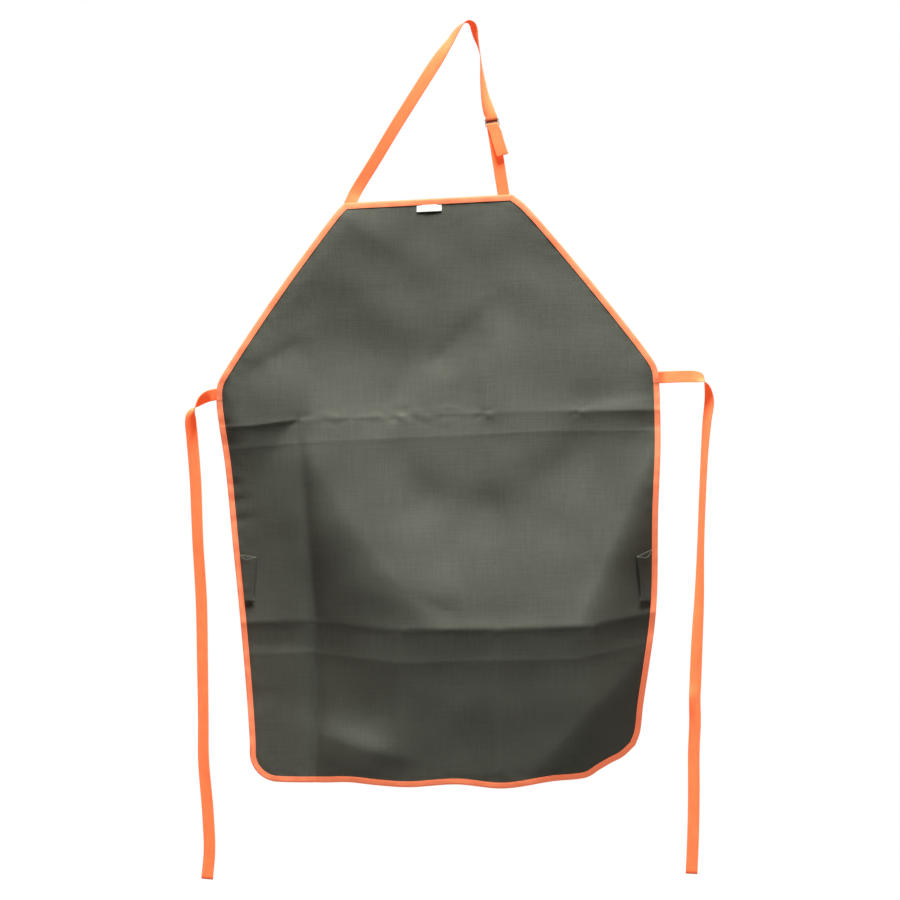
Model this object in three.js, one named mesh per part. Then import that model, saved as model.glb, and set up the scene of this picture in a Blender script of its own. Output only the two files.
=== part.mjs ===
import * as THREE from 'three';

// A hunting apron of coated cloth, hanging by its neck strap.
// Millimetres. X runs to the right as seen from the front, Y away from the viewer, Z up.
// The origin lies under the neck strap, where the strap hangs.

// Driving sizes
const CLOTH = 1.2;
const TAPE_WIDTH = 20;
const TAPE = 1.2;
const BINDING_WALL = 0.8;
const BINDING_COVER = 10;
const GAP = 0.3;
const FOLD_GAP = 0.6;
const SLIDER = { width: 24.2, height: 14, thickness: 1.8, bar: 2.2, slotWidth: 20.8, rounding: 1.5 };
const SLIDER_LEAD_IN = 2;
const BEND_RADIUS = 1;
const LABEL = { width: 42.5, height: 12.5, thickness: 0.6, x: -66, drop: 0.6, tilt: 0.05 };

// Fineness of the facets
const EDGE_SAMPLES = 400;
const CORNER_STEPS = 4;
const COLUMNS = 24;
const STEPS_PER_ROW = 2;
const BEND_STEPS = 3;
const ROUNDING_STEPS = 4;
const LOOP_ROWS = 5;
const MITRE_LIMIT = 0.5;

// Finished outline of the bound apron, from the bib's corners to the skirt's lower corners
const LEFT_EDGE = [
  { x: -210, z: -308 },
  { x: -222, z: -320 },
  { x: -280, z: -396 },
  { x: -335, z: -473 },
  { x: -403, z: -575 },
  { x: -424, z: -610 },
  { x: -428, z: -624 },
  { x: -428, z: -651 },
  { x: -424, z: -685 },
  { x: -414, z: -753 },
  { x: -401, z: -889 },
  { x: -388, z: -1025 },
  { x: -377, z: -1161 },
  { x: -373, z: -1229 },
];
const RIGHT_EDGE = [
  { x: 75, z: -293 },
  { x: 98, z: -311 },
  { x: 309, z: -566 },
  { x: 322, z: -589 },
  { x: 325, z: -609 },
  { x: 327, z: -651 },
  { x: 328, z: -719 },
  { x: 324, z: -838 },
  { x: 323, z: -966 },
  { x: 319, z: -1025 },
  { x: 310, z: -1093 },
  { x: 300, z: -1161 },
  { x: 294, z: -1212 },
  { x: 286, z: -1233 },
];
const HEM = [
  { x: -245, z: -1296 },
  { x: -204, z: -1295 },
  { x: -153, z: -1300 },
  { x: -102, z: -1303 },
  { x: -20, z: -1298 },
  { x: 61, z: -1305 },
  { x: 143, z: -1293 },
  { x: 204, z: -1286 },
  { x: 224, z: -1274 },
  { x: 245, z: -1262 },
  { x: 265, z: -1252 },
  { x: 286, z: -1233 },
];
// Arc of the lower left corner, with the angles in degrees where it starts, meets the hem's half and ends
const LEFT_CORNER = { x: -323, z: -1245, radius: 50, start: 180, middle: 225, end: 270 };

// Levels of the cloth grid, by height on each side edge; steps counts the grid rows down to the level
const LEVELS = [
  { name: 'bib top', left: -308, right: -293, steps: 0 },
  { name: 'waist', left: -624, right: -595, steps: 12 },
  { name: 'tape join', left: -644, right: -614, steps: 1 },
  { name: 'waist fold', left: -685, right: -661, steps: 2 },
  { name: 'below waist fold', left: -731, right: -690, steps: 2 },
  { name: 'skirt fold', left: -1020, right: -1003, steps: 9 },
  { name: 'below skirt fold', left: -1071, right: -1046, steps: 2 },
  { name: 'lower corner', left: -1280, right: -1233, steps: 8 },
];

// Bends of the hanging cloth: beyond its line, below or right of it, the cloth turns back by slope, softly at
// first. A line with a sag hangs down by that at mid length.
const BIB_BEND = { x0: -428, z0: -290, x1: 328, z1: -290, slope: 0.07, softness: 20 };
const WAIST_BEND = { x0: -428, z0: -686, x1: 328, z1: -659, slope: -0.11, softness: 8 };
const SKIRT_BEND = { x0: -388, z0: -1020, x1: 322, z1: -1003, sag: 26, slope: 0.2, softness: 3 };
const CURL = { x0: 75, z0: -1300, x1: 325, z1: -1065, slope: 0.13, softness: 18 };
// Beyond its flanks the middle panel, from waist to skirt crease, falls back to the two side panels
const FLANKS = [
  { name: 'left flank', x0: -288, z0: -673, x1: -35, z1: -1030, sag: 30, slope: 0.42, softness: 60 },
  { name: 'right flank', x0: 198, z0: -1015, x1: 312, z1: -735, slope: 0.8, softness: 60 },
];
// How far the side panels fall back for each millimetre below the waist
const SIDE_BACK = 0.2;

// Folds of the hanging cloth. Each lies along a line, lifts the cloth towards the viewer by lift at its first
// end and by last at its other, and dies away over two widths: a above or right of the line, b below or left.
// Power 1 gives a pressed crease, power 2 a soft roll.
const FOLDS = [
  { name: 'waist left', x0: -428, z0: -686, x1: -296, z1: -681, lift: 4, last: 4, a: 55, b: 20, power: 1 },
  { name: 'waist mid', x0: -262, z0: -679, x1: 110, z1: -665, lift: 5, last: 5, a: 60, b: 60, power: 1.1 },
  { name: 'waist right', x0: 140, z0: -664, x1: 328, z1: -659, lift: 5, last: 5, a: 55, b: 28, power: 1 },
  { ...SKIRT_BEND, name: 'skirt crease', lift: 2, last: 2, a: 26, b: 14, power: 1 },
  { name: 'centre hollow', x0: -100, z0: -765, x1: 50, z1: -800, lift: -5, last: -5, a: 55, b: 40, power: 2 },
  { name: 'belly fold', x0: 205, z0: -705, x1: 70, z1: -800, lift: -3, last: -3, a: 26, b: 50, power: 2 },
  { name: 'bib ridge', x0: -235, z0: -422, x1: -65, z1: -549, lift: 2.5, last: 2.5, a: 120, b: 60, power: 2 },
  { name: 'bib hollow', x0: -285, z0: -470, x1: -135, z1: -588, lift: -2, last: -3, a: 55, b: 45, power: 2 },
  { name: 'bib crease', x0: -50, z0: -563, x1: 40, z1: -500, lift: -2.2, last: -1.2, a: 22, b: 34, power: 2 },
  { name: 'hem drape', x0: -250, z0: -1218, x1: -125, z1: -1246, lift: 6, last: 4, a: 60, b: 34, power: 1.8 },
  { name: 'skirt left', x0: -330, z0: -1060, x1: -330, z1: -1300, lift: 0, last: 9, a: 110, b: 90, power: 2 },
];
// Folds of the left side panel, which run on down the skirt as they are at its crease
const SIDE_FOLDS = [
  { name: 'crease', x0: -280, z0: -690, x1: -263, z1: -1010, lift: 3, last: 3, a: 12, b: 40, power: 1.3 },
  { name: 'gutter', x0: -270, z0: -740, x1: -252, z1: -1010, lift: 0, last: -15, a: 52, b: 12, power: 1.3 },
  { name: 'panel', x0: -335, z0: -860, x1: -335, z1: -1010, lift: 0, last: 5, a: 50, b: 60, power: 2 },
];
const FOLD_FADE = 30;

// Webbing runs: centre line, depth and twist in degrees; at twist 0 the webbing faces the viewer.
// A row marked sewn lies behind the bound edge, at the depth of the cloth. The depths of the two ties count
// from TIE_BACK, about the depth of the waist.
const TIE_BACK = 19;
const NECK_STRAP = [
  { x: -205, z: -319, sewn: true },
  { x: -199, z: -306, sewn: true },
  { x: -191, z: -289, y: 3.5, twist: 2 },
  { x: -158, z: -235, y: 4, twist: 5 },
  { x: -125, z: -180, y: 3, twist: 8 },
  { x: -91, z: -126, y: 2, twist: 22 },
  { x: -56, z: -71, y: 1, twist: 40 },
  { x: -38, z: -44, y: 0, twist: 48 },
  { x: -29, z: -31, y: 0, twist: 60 },
  { x: -20.5, z: -17, y: 0, twist: 73 },
  { x: -11.5, z: -5.5, y: 0, twist: 84 },
  { x: 0, z: 0.6, y: 0, twist: 92 },
  { x: 7.5, z: -4, y: 0, twist: 108 },
  { x: 11, z: -14, y: 0, twist: 121 },
  { x: 13.5, z: -26, y: 0, twist: 118 },
  { x: 17, z: -39, y: 0, twist: 104 },
  { x: 20.5, z: -54, y: 0, twist: 93 },
  { x: 22.5, z: -75, y: -0.5, twist: 82 },
  { x: 25, z: -99, y: -1, twist: 66 },
  { x: 29, z: -126, y: -1.5, twist: 48 },
  { x: 34, z: -146, y: -1.8, twist: 20 },
];
const TAIL = [
  { x: 47, z: -187, y: -3.5, twist: 0 },
  { x: 52.5, z: -207, y: -4.2, twist: 0 },
  { x: 59, z: -227, y: -4.2, twist: 0 },
];
const TIE_LEFT = [
  { x: -416, z: -632, sewn: true },
  { x: -428, z: -633, sewn: true },
  { x: -439, z: -635, y: 4, twist: 4 },
  { x: -447.5, z: -638.5, y: 3, twist: 22 },
  { x: -456, z: -644.5, y: 1, twist: 50 },
  { x: -462, z: -651, y: 0, twist: 78 },
  { x: -467, z: -658.5, y: 0, twist: 108 },
  { x: -470.5, z: -667, y: 0, twist: 138 },
  { x: -472, z: -678, y: 1, twist: 160 },
  { x: -470, z: -702, y: 3, twist: 172 },
  { x: -464, z: -779, y: 6, twist: 168 },
  { x: -460, z: -881, y: 8, twist: 160 },
  { x: -454, z: -983, y: 8, twist: 165 },
  { x: -452, z: -1085, y: 6, twist: 160 },
  { x: -450.5, z: -1187, y: 4, twist: 155 },
  { x: -450, z: -1256, y: 3, twist: 160 },
  { x: -443, z: -1340, y: 2, twist: 172 },
  { x: -440, z: -1408, y: 2, twist: 172 },
  { x: -444, z: -1458, y: 2, twist: 175 },
];
const TIE_RIGHT = [
  { x: 313, z: -604, sewn: true },
  { x: 325, z: -604, sewn: true },
  { x: 338, z: -603.5, y: 3.5, twist: 0 },
  { x: 366, z: -602.5, y: 2, twist: 0 },
  { x: 383, z: -602.5, y: 1, twist: 14 },
  { x: 394, z: -604.5, y: 0, twist: 45 },
  { x: 401, z: -609.5, y: 0, twist: 76 },
  { x: 406, z: -617.5, y: 0, twist: 104 },
  { x: 409.5, z: -630, y: 0, twist: 128 },
  { x: 410.5, z: -648, y: 1, twist: 142 },
  { x: 407, z: -677, y: 3, twist: 136 },
  { x: 403, z: -728, y: 5, twist: 126 },
  { x: 399, z: -812, y: 6, twist: 122 },
  { x: 396, z: -898, y: 6, twist: 124 },
  { x: 393.5, z: -983, y: 5, twist: 142 },
  { x: 390, z: -1050, y: 4, twist: 162 },
  { x: 387, z: -1125, y: 4, twist: 178 },
  { x: 386, z: -1148, y: 2, twist: 192 },
  { x: 386.5, z: -1190, y: 4, twist: 176 },
  { x: 384.5, z: -1240, y: 5, twist: 172 },
  { x: 384.5, z: -1315, y: 4, twist: 176 },
  { x: 383, z: -1390, y: 3, twist: 178 },
  { x: 380.5, z: -1449, y: 2, twist: 180 },
];

// Slider and the webbing through it, in the slider's own directions: down its length and across its depth
const SLIDER_CENTRE = { x: 41, y: 0, z: -170.5 };
const SLIDER_LEAN = THREE.MathUtils.degToRad(9);
const SHORT_STRAP = { foldBack: 22, legs: 0.8, level: 30, reach: 108, end: 133 };

// Side loops: heights of the back layer's end, the folded edge and the front layer's end, and how far
// the folded edge stands in from the binding at its top and bottom
const SIDE_LOOPS = [
  {
    name: 'side_loop_left', side: 'left', inwards: 1,
    back: -906, fold: -910, front: -916, bottom: -986, top: 27, low: 13,
  },
  {
    name: 'side_loop_right', side: 'right', inwards: -1,
    back: -897, fold: -909, front: -911, bottom: -986, top: 25, low: 15,
  },
];
// Section of a side loop: share of the way to the folded edge, rise in front of the cloth at the top, and how
// much further it stands off at the bottom, because the front layer hangs plumb while the cloth falls back
const LOOP_SECTION = [
  { layer: 'back', reach: 0, rise: 0, flare: 0 },
  { layer: 'back', reach: 0.4, rise: 0, flare: 0 },
  { layer: 'back', reach: 0.86, rise: 0.4, flare: 0 },
  { layer: 'fold', reach: 1, rise: 6, flare: 6 },
  { layer: 'front', reach: 0.86, rise: 11.2, flare: 12 },
  { layer: 'front', reach: 0.4, rise: 10.8, flare: 12 },
  { layer: 'front', reach: 0, rise: 1.4, flare: 0 },
];

// Finishes
const COATED_CLOTH = { color: 0x55564b, roughness: 0.62, metalness: 0 };
const ORANGE_TAPE = { color: 0xf08a4b, roughness: 0.85, metalness: 0 };
const NICKEL = { color: 0xc9c4bc, roughness: 0.3, metalness: 1 };
const WHITE_WOVEN = { color: 0xf1efec, roughness: 0.8, metalness: 0 };

const AWAY = new THREE.Vector3(0, 1, 0);
const QUARTER = Math.PI / 2;

/** Distance off a line, above or right of it, with the share along it and the distance past its ends. */
function offLine(line, x, z) {
  const run = new THREE.Vector2(line.x1 - line.x0, line.z1 - line.z0);
  const length = run.length();
  run.divideScalar(length);
  const dx = x - line.x0;
  const dz = z - line.z0;
  const along = dx * run.x + dz * run.y;
  const share = THREE.MathUtils.clamp(along / length, 0, 1);
  const off = dz * run.x - dx * run.y + (line.sag ?? 0) * 4 * share * (1 - share);
  return { off, share, over: Math.max(-along, along - length, 0) };
}

function foldLift(fold, x, z) {
  const { off, share, over } = offLine(fold, x, z);
  const width = off > 0 ? fold.a : fold.b;
  const lift = THREE.MathUtils.lerp(fold.lift, fold.last, share);
  return lift * Math.exp(-((Math.abs(off) / width) ** fold.power) - (over / FOLD_FADE) ** 2);
}

function beyond(bend, x, z) {
  return Math.max(-offLine(bend, x, z).off, 0);
}

function turnedBack(bend, x, z) {
  const past = beyond(bend, x, z);
  return bend.slope * past ** 2 / (past + bend.softness);
}

/** The lesser of two depths, rounded off where they are alike. */
function softLesser(one, other) {
  const either = Math.sqrt(Math.hypot(one ** 2, other ** 2));
  return either > 0 ? one * other / either : 0;
}

/** Depth of the middle of the cloth at a place on the apron. */
function clothDepth(x, z) {
  const drop = beyond(SKIRT_BEND, x, z);
  const flanks = FLANKS.map((flank) => turnedBack(flank, x, z + drop));
  const back = SIDE_BACK * Math.max(beyond(WAIST_BEND, x, z) - drop, 0);
  const bends = [BIB_BEND, WAIST_BEND, SKIRT_BEND, CURL].map((bend) => turnedBack(bend, x, z));
  const folds = FOLDS.map((fold) => foldLift(fold, x, z));
  const sideFolds = SIDE_FOLDS.map((fold) => foldLift(fold, x, z + drop));
  const lift = [...folds, ...sideFolds].reduce((sum, part) => sum + part, 0);
  return bends.reduce((sum, part) => sum + part, softLesser(Math.max(...flanks), back)) - lift;
}

/** Depth of webbing sewn on behind the bound edge. */
function sewnDepth(x, z) {
  return clothDepth(x, z) + CLOTH / 2 + GAP + BINDING_WALL + FOLD_GAP + TAPE / 2;
}

function named(name, geometry, finish) {
  geometry.computeVertexNormals();
  const mesh = new THREE.Mesh(geometry, new THREE.MeshStandardMaterial(finish));
  mesh.name = name;
  return mesh;
}

/** Indexed geometry with its triangles turned to face outwards. */
function closedGeometry(points, triangles) {
  let volume = 0;
  for (const [a, b, c] of triangles) {
    volume += points[a].dot(new THREE.Vector3().crossVectors(points[b], points[c]));
  }
  const facing = volume > 0 ? triangles : triangles.map(([a, b, c]) => [a, c, b]);
  const geometry = new THREE.BufferGeometry().setFromPoints(points);
  geometry.setIndex(facing.flat());
  return geometry;
}

/**
 * Solid swept through matching rings. Cap quads close the first and last ring.
 * Edges listed in flipped have their quads split along the other diagonal.
 */
function sweptSolid(rings, capQuads, flipped = []) {
  const size = rings[0].length;
  const triangles = [];
  for (let i = 0; i + 1 < rings.length; i += 1) {
    for (let k = 0; k < size; k += 1) {
      const a = i * size + k;
      const b = i * size + (k + 1) % size;
      const c = b + size;
      const d = a + size;
      if (flipped.includes(k)) {
        triangles.push([b, c, d], [b, d, a]);
      } else {
        triangles.push([a, b, c], [a, c, d]);
      }
    }
  }
  const last = (rings.length - 1) * size;
  for (const [a, b, c, d] of capQuads) {
    triangles.push([c, b, a], [d, c, a]);
    triangles.push([last + a, last + b, last + c], [last + a, last + c, last + d]);
  }
  return closedGeometry(rings.flat(), triangles);
}

// Outline

function smoothCurve(rows) {
  return new THREE.CatmullRomCurve3(rows.map((row) => new THREE.Vector3(row.x, 0, row.z)));
}

/** Points of the lower left corner's arc between two angles in degrees. */
function cornerArc(from, to) {
  const start = THREE.MathUtils.degToRad(from);
  const end = THREE.MathUtils.degToRad(to);
  const { x, z, radius } = LEFT_CORNER;
  const arc = new THREE.EllipseCurve(x, z, radius, radius, start, end);
  return arc.getPoints(CORNER_STEPS).map((point) => ({ x: point.x, z: point.y }));
}

/** Point of a falling edge at a height. */
function edgeAtHeight(points, z) {
  const next = points.findIndex((point) => point.z <= z);
  if (next <= 0) {
    return next === 0 ? points[0].clone() : points.at(-1).clone();
  }
  const share = (points[next - 1].z - z) / (points[next - 1].z - points[next].z);
  return points[next - 1].clone().lerp(points[next], share);
}

function gridHeights(side) {
  const heights = [LEVELS[0][side]];
  for (let i = 1; i < LEVELS.length; i += 1) {
    const from = LEVELS[i - 1][side];
    const to = LEVELS[i][side];
    for (let step = 1; step <= LEVELS[i].steps; step += 1) {
      heights.push(from + (to - from) * (step / LEVELS[i].steps));
    }
  }
  return heights;
}

const sideArc = cornerArc(LEFT_CORNER.start, LEFT_CORNER.middle);
const hemArc = cornerArc(LEFT_CORNER.middle, LEFT_CORNER.end);
const leftPoints = smoothCurve([...LEFT_EDGE, ...sideArc]).getPoints(EDGE_SAMPLES);
const rightPoints = smoothCurve(RIGHT_EDGE).getPoints(EDGE_SAMPLES);
const hemCurve = smoothCurve([...hemArc, ...HEM]);
const leftSide = gridHeights('left').map((z) => edgeAtHeight(leftPoints, z));
const rightSide = gridHeights('right').map((z) => edgeAtHeight(rightPoints, z));
const ROWS = leftSide.length - 1;
leftSide[0].copy(leftPoints[0]);
leftSide[ROWS].copy(leftPoints.at(-1));
rightSide[0].copy(rightPoints[0]);
rightSide[ROWS].copy(rightPoints.at(-1));

/** Finished outline as one loop: along the top, down the right, back along the hem and up the left. */
function outlineLoop() {
  const loop = [];
  for (let i = 0; i < COLUMNS; i += 1) {
    loop.push(leftSide[0].clone().lerp(rightSide[0], i / COLUMNS));
  }
  loop.push(...rightSide.slice(0, ROWS));
  for (let i = COLUMNS; i > 0; i -= 1) {
    loop.push(hemCurve.getPointAt(i / COLUMNS));
  }
  loop.push(...leftSide.slice(1).reverse());
  return loop;
}

const outline = outlineLoop();
const EDGE_COUNT = outline.length;

/** Outline point moved inwards, square to the edges beside it. */
function inset(index, distance) {
  const here = outline[index];
  const before = outline[(index + EDGE_COUNT - 1) % EDGE_COUNT];
  const after = outline[(index + 1) % EDGE_COUNT];
  const first = here.clone().sub(before).normalize();
  const second = after.clone().sub(here).normalize();
  const middle = first.clone().add(second).normalize();
  const inward = new THREE.Vector3(middle.z, 0, -middle.x);
  const reach = distance / Math.max(first.dot(middle), MITRE_LIMIT);
  return here.clone().addScaledVector(inward, reach);
}

const clothEdge = outline.map((_, i) => inset(i, BINDING_WALL + GAP));
const foldEdge = outline.map((_, i) => inset(i, BINDING_WALL));
const coverEdge = outline.map((_, i) => inset(i, BINDING_COVER));

// Cloth

function withDepth(point, depth) {
  return new THREE.Vector3(point.x, depth, point.z);
}

/** Places inside the binding: a grid blended from the four covered edges. */
function clothGrid() {
  const right = COLUMNS;
  const hem = right + ROWS;
  const left = hem + COLUMNS;
  const grid = [];
  for (let j = 0; j <= ROWS; j += 1) {
    const v = j / ROWS;
    for (let i = 0; i <= COLUMNS; i += 1) {
      const u = i / COLUMNS;
      const point = new THREE.Vector3();
      point.addScaledVector(coverEdge[i], 1 - v);
      point.addScaledVector(coverEdge[hem + COLUMNS - i], v);
      point.addScaledVector(coverEdge[(left + ROWS - j) % EDGE_COUNT], 1 - u);
      point.addScaledVector(coverEdge[right + j], u);
      point.addScaledVector(coverEdge[0], -(1 - u) * (1 - v));
      point.addScaledVector(coverEdge[right], -u * (1 - v));
      point.addScaledVector(coverEdge[hem], -u * v);
      point.addScaledVector(coverEdge[left], -(1 - u) * v);
      grid.push(point);
    }
  }
  return grid;
}

function gridIndex(i, j) {
  return j * (COLUMNS + 1) + i;
}

/** Grid places that meet the band under the binding, in the order of the outline. */
function gridRim() {
  const rim = [];
  for (let i = 0; i < COLUMNS; i += 1) {
    rim.push(gridIndex(i, 0));
  }
  for (let j = 0; j < ROWS; j += 1) {
    rim.push(gridIndex(COLUMNS, j));
  }
  for (let i = COLUMNS; i > 0; i -= 1) {
    rim.push(gridIndex(i, ROWS));
  }
  for (let j = ROWS; j > 0; j -= 1) {
    rim.push(gridIndex(0, j));
  }
  return rim;
}

function apronBody() {
  const inner = clothGrid();
  const rim = gridRim();
  const places = [...inner, ...clothEdge];
  const front = places.map((p) => withDepth(p, clothDepth(p.x, p.z) - CLOTH / 2));
  const back = places.map((p) => withDepth(p, clothDepth(p.x, p.z) + CLOTH / 2));
  const faces = [];
  for (let j = 0; j < ROWS; j += 1) {
    for (let i = 0; i < COLUMNS; i += 1) {
      const [a, b] = [gridIndex(i, j), gridIndex(i + 1, j)];
      const [c, d] = [gridIndex(i + 1, j + 1), gridIndex(i, j + 1)];
      faces.push([a, b, c], [a, c, d]);
    }
  }
  const triangles = [];
  for (let k = 0; k < EDGE_COUNT; k += 1) {
    const next = (k + 1) % EDGE_COUNT;
    const edge = inner.length + k;
    const nextEdge = inner.length + next;
    faces.push([rim[k], edge, nextEdge], [rim[k], nextEdge, rim[next]]);
    triangles.push([edge, places.length + edge, places.length + nextEdge]);
    triangles.push([edge, places.length + nextEdge, nextEdge]);
  }
  for (const [a, b, c] of faces) {
    triangles.push([a, b, c], [places.length + a, places.length + c, places.length + b]);
  }
  return named('apron_body', closedGeometry([...front, ...back], triangles), COATED_CLOTH);
}

// Binding

/** Section of the folded tape at an outline point: inner faces, then outer faces. */
function bindingSection(index) {
  const k = (index + EDGE_COUNT) % EDGE_COUNT;
  const coverDepth = clothDepth(coverEdge[k].x, coverEdge[k].z);
  const edgeDepth = clothDepth(clothEdge[k].x, clothEdge[k].z);
  const slope = (edgeDepth - coverDepth) / (BINDING_COVER - BINDING_WALL - GAP);
  const foldDepth = edgeDepth + slope * GAP;
  const outerDepth = foldDepth + slope * BINDING_WALL;
  const inside = CLOTH / 2 + GAP;
  const outside = inside + BINDING_WALL;
  return [
    withDepth(coverEdge[k], coverDepth - inside),
    withDepth(foldEdge[k], foldDepth - inside),
    withDepth(foldEdge[k], foldDepth + inside),
    withDepth(coverEdge[k], coverDepth + inside),
    withDepth(coverEdge[k], coverDepth + outside),
    withDepth(outline[k], outerDepth + outside),
    withDepth(outline[k], outerDepth - outside),
    withDepth(coverEdge[k], coverDepth - outside),
  ];
}

// Corners of the section that close the tape's ends, the sides whose facets run with the back of the cloth,
// and the corner on the folded edge that faces the viewer
const BINDING_CAP = [[0, 1, 6, 7], [1, 2, 5, 6], [2, 3, 4, 5]];
const BINDING_FLIPPED = [2, 6];
const FOLD_CORNER = 6;

/** Section moved a little towards its neighbour, so that two tape ends stay apart. */
function endSection(index, towards) {
  const here = bindingSection(index);
  const next = bindingSection(towards);
  const share = GAP / 2 / here[FOLD_CORNER].distanceTo(next[FOLD_CORNER]);
  return here.map((point, i) => point.clone().lerp(next[i], share));
}

function binding(name, first, last) {
  const rings = [endSection(first, first + 1)];
  for (let k = first + 1; k < last; k += 1) {
    rings.push(bindingSection(k));
  }
  rings.push(endSection(last, last - 1));
  return named(name, sweptSolid(rings, BINDING_CAP, BINDING_FLIPPED), ORANGE_TAPE);
}

function bindings() {
  const joinLevel = LEVELS.findIndex((level) => level.name === 'tape join');
  const joinRow = LEVELS.slice(0, joinLevel + 1).reduce((sum, level) => sum + level.steps, 0);
  return [
    binding('bib_binding', -joinRow, COLUMNS + joinRow),
    binding('skirt_binding', COLUMNS + joinRow, EDGE_COUNT - joinRow),
  ];
}

// Webbing

/** Twist of a run at one of its rows: sewn rows follow the slope of the cloth. */
function rowTwist(row, along) {
  if (!row.sewn) {
    return THREE.MathUtils.degToRad(row.twist);
  }
  const half = new THREE.Vector3().crossVectors(along, AWAY).setLength(TAPE_WIDTH / 2);
  const rise = clothDepth(row.x + half.x, row.z + half.z) - clothDepth(row.x - half.x, row.z - half.z);
  return Math.atan2(rise, TAPE_WIDTH);
}

/** Stations of a hanging run whose depths count from back: centre and direction of the webbing's width. */
function hangingRun(rows, back = 0) {
  const depth = (row) => (row.sewn ? sewnDepth(row.x, row.z) : back + row.y);
  const path = new THREE.CatmullRomCurve3(rows.map((row) => new THREE.Vector3(row.x, depth(row), row.z)));
  const twists = rows.map((row, i) => rowTwist(row, path.getTangent(i / (rows.length - 1))));
  const count = (rows.length - 1) * STEPS_PER_ROW;
  const stations = [];
  for (let k = 0; k <= count; k += 1) {
    const row = Math.min(Math.floor(k / STEPS_PER_ROW), rows.length - 2);
    const twist = THREE.MathUtils.lerp(twists[row], twists[row + 1], k / STEPS_PER_ROW - row);
    const along = path.getTangent(k / count);
    const level = new THREE.Vector3().crossVectors(along, AWAY).normalize();
    const outward = new THREE.Vector3().crossVectors(level, along);
    const across = level.multiplyScalar(Math.cos(twist)).addScaledVector(outward, Math.sin(twist));
    stations.push({ centre: path.getPoint(k / count), across });
  }
  return stations;
}

const sliderAcross = new THREE.Vector3(Math.cos(SLIDER_LEAN), 0, Math.sin(SLIDER_LEAN));
const sliderDown = new THREE.Vector3(Math.sin(SLIDER_LEAN), 0, -Math.cos(SLIDER_LEAN));
const sliderCentre = new THREE.Vector3(SLIDER_CENTRE.x, SLIDER_CENTRE.y, SLIDER_CENTRE.z);

function sliderPoint(down, depth) {
  return sliderCentre.clone().addScaledVector(sliderDown, down).addScaledVector(AWAY, depth);
}

/** Stations along a path drawn in the slider's length and depth. */
function sliderRun(path) {
  const points = path.getPoints(BEND_STEPS);
  return points.map((point) => ({ centre: sliderPoint(point.x, point.y), across: sliderAcross }));
}

function webbing(name, stations) {
  const rings = stations.map((station, i) => {
    const before = stations[Math.max(i - 1, 0)].centre;
    const after = stations[Math.min(i + 1, stations.length - 1)].centre;
    const along = after.clone().sub(before).normalize();
    const half = station.across.clone().multiplyScalar(TAPE_WIDTH / 2);
    const face = new THREE.Vector3().crossVectors(along, half).setLength(TAPE / 2);
    const left = station.centre.clone().sub(half);
    const right = station.centre.clone().add(half);
    return [left.clone().sub(face), right.clone().sub(face), right.add(face), left.add(face)];
  });
  return named(name, sweptSolid(rings, [[0, 1, 2, 3]]), ORANGE_TAPE);
}

const SLOT = (SLIDER.height - 3 * SLIDER.bar) / 2;
const SLOT_CENTRE = (SLIDER.bar + SLOT) / 2;
const LOWER_BAR_TOP = SLIDER.height / 2 - SLIDER.bar;
const WRAP = SLIDER.thickness / 2 + GAP + TAPE / 2;

/** Over the top bar, behind the middle bar and out again in front of the lower loop. */
function threadedPath() {
  const exit = SLIDER.bar / 2 + GAP + TAPE / 2;
  const front = WRAP + TAPE + GAP;
  const path = new THREE.Path();
  path.moveTo(-SLIDER.height / 2 - SLIDER_LEAD_IN, -WRAP);
  path.lineTo(-SLOT_CENTRE - BEND_RADIUS, -WRAP);
  path.absarc(-SLOT_CENTRE - BEND_RADIUS, BEND_RADIUS - WRAP, BEND_RADIUS, -QUARTER, 0, false);
  path.absarc(BEND_RADIUS - SLOT_CENTRE, WRAP - BEND_RADIUS, BEND_RADIUS, 2 * QUARTER, QUARTER, true);
  path.absarc(exit - BEND_RADIUS, WRAP - BEND_RADIUS, BEND_RADIUS, QUARTER, 0, true);
  path.absarc(exit + BEND_RADIUS, BEND_RADIUS - front, BEND_RADIUS, 2 * QUARTER, 3 * QUARTER, false);
  path.lineTo(SLIDER.height / 2, -front);
  return path;
}

/** Up behind the lower bar, round it and down in front to the bib's corner. */
function loopedPath() {
  const radius = GAP + TAPE / 2;
  const end = sliderPoint(SHORT_STRAP.end, 0);
  const reach = sliderPoint(SHORT_STRAP.reach, 0);
  const path = new THREE.Path();
  path.moveTo(SHORT_STRAP.foldBack, SHORT_STRAP.legs);
  path.lineTo(SLIDER.height / 2 + SLIDER_LEAD_IN, WRAP);
  path.absarc(LOWER_BAR_TOP, SLIDER.thickness / 2, radius, QUARTER, 2 * QUARTER, false);
  path.absarc(LOWER_BAR_TOP, -SLIDER.thickness / 2, radius, 2 * QUARTER, 3 * QUARTER, false);
  path.lineTo(SLIDER.height / 2 + SLIDER_LEAD_IN, -WRAP);
  path.lineTo(SHORT_STRAP.level, -SHORT_STRAP.legs);
  path.lineTo(SHORT_STRAP.reach, sewnDepth(reach.x, reach.z));
  path.lineTo(SHORT_STRAP.end, sewnDepth(end.x, end.z));
  return path;
}

function straps() {
  const through = sliderRun(threadedPath());
  return [
    webbing('neck_strap', [...hangingRun(NECK_STRAP), ...through, ...hangingRun(TAIL)]),
    webbing('short_strap', sliderRun(loopedPath())),
    webbing('tie_left', hangingRun(TIE_LEFT, TIE_BACK)),
    webbing('tie_right', hangingRun(TIE_RIGHT, TIE_BACK)),
  ];
}

function slotHole(centre) {
  const half = SLIDER.slotWidth / 2;
  const hole = new THREE.Path();
  hole.moveTo(-half, centre - SLOT / 2);
  hole.lineTo(-half, centre + SLOT / 2);
  hole.lineTo(half, centre + SLOT / 2);
  hole.lineTo(half, centre - SLOT / 2);
  hole.closePath();
  return hole;
}

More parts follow.
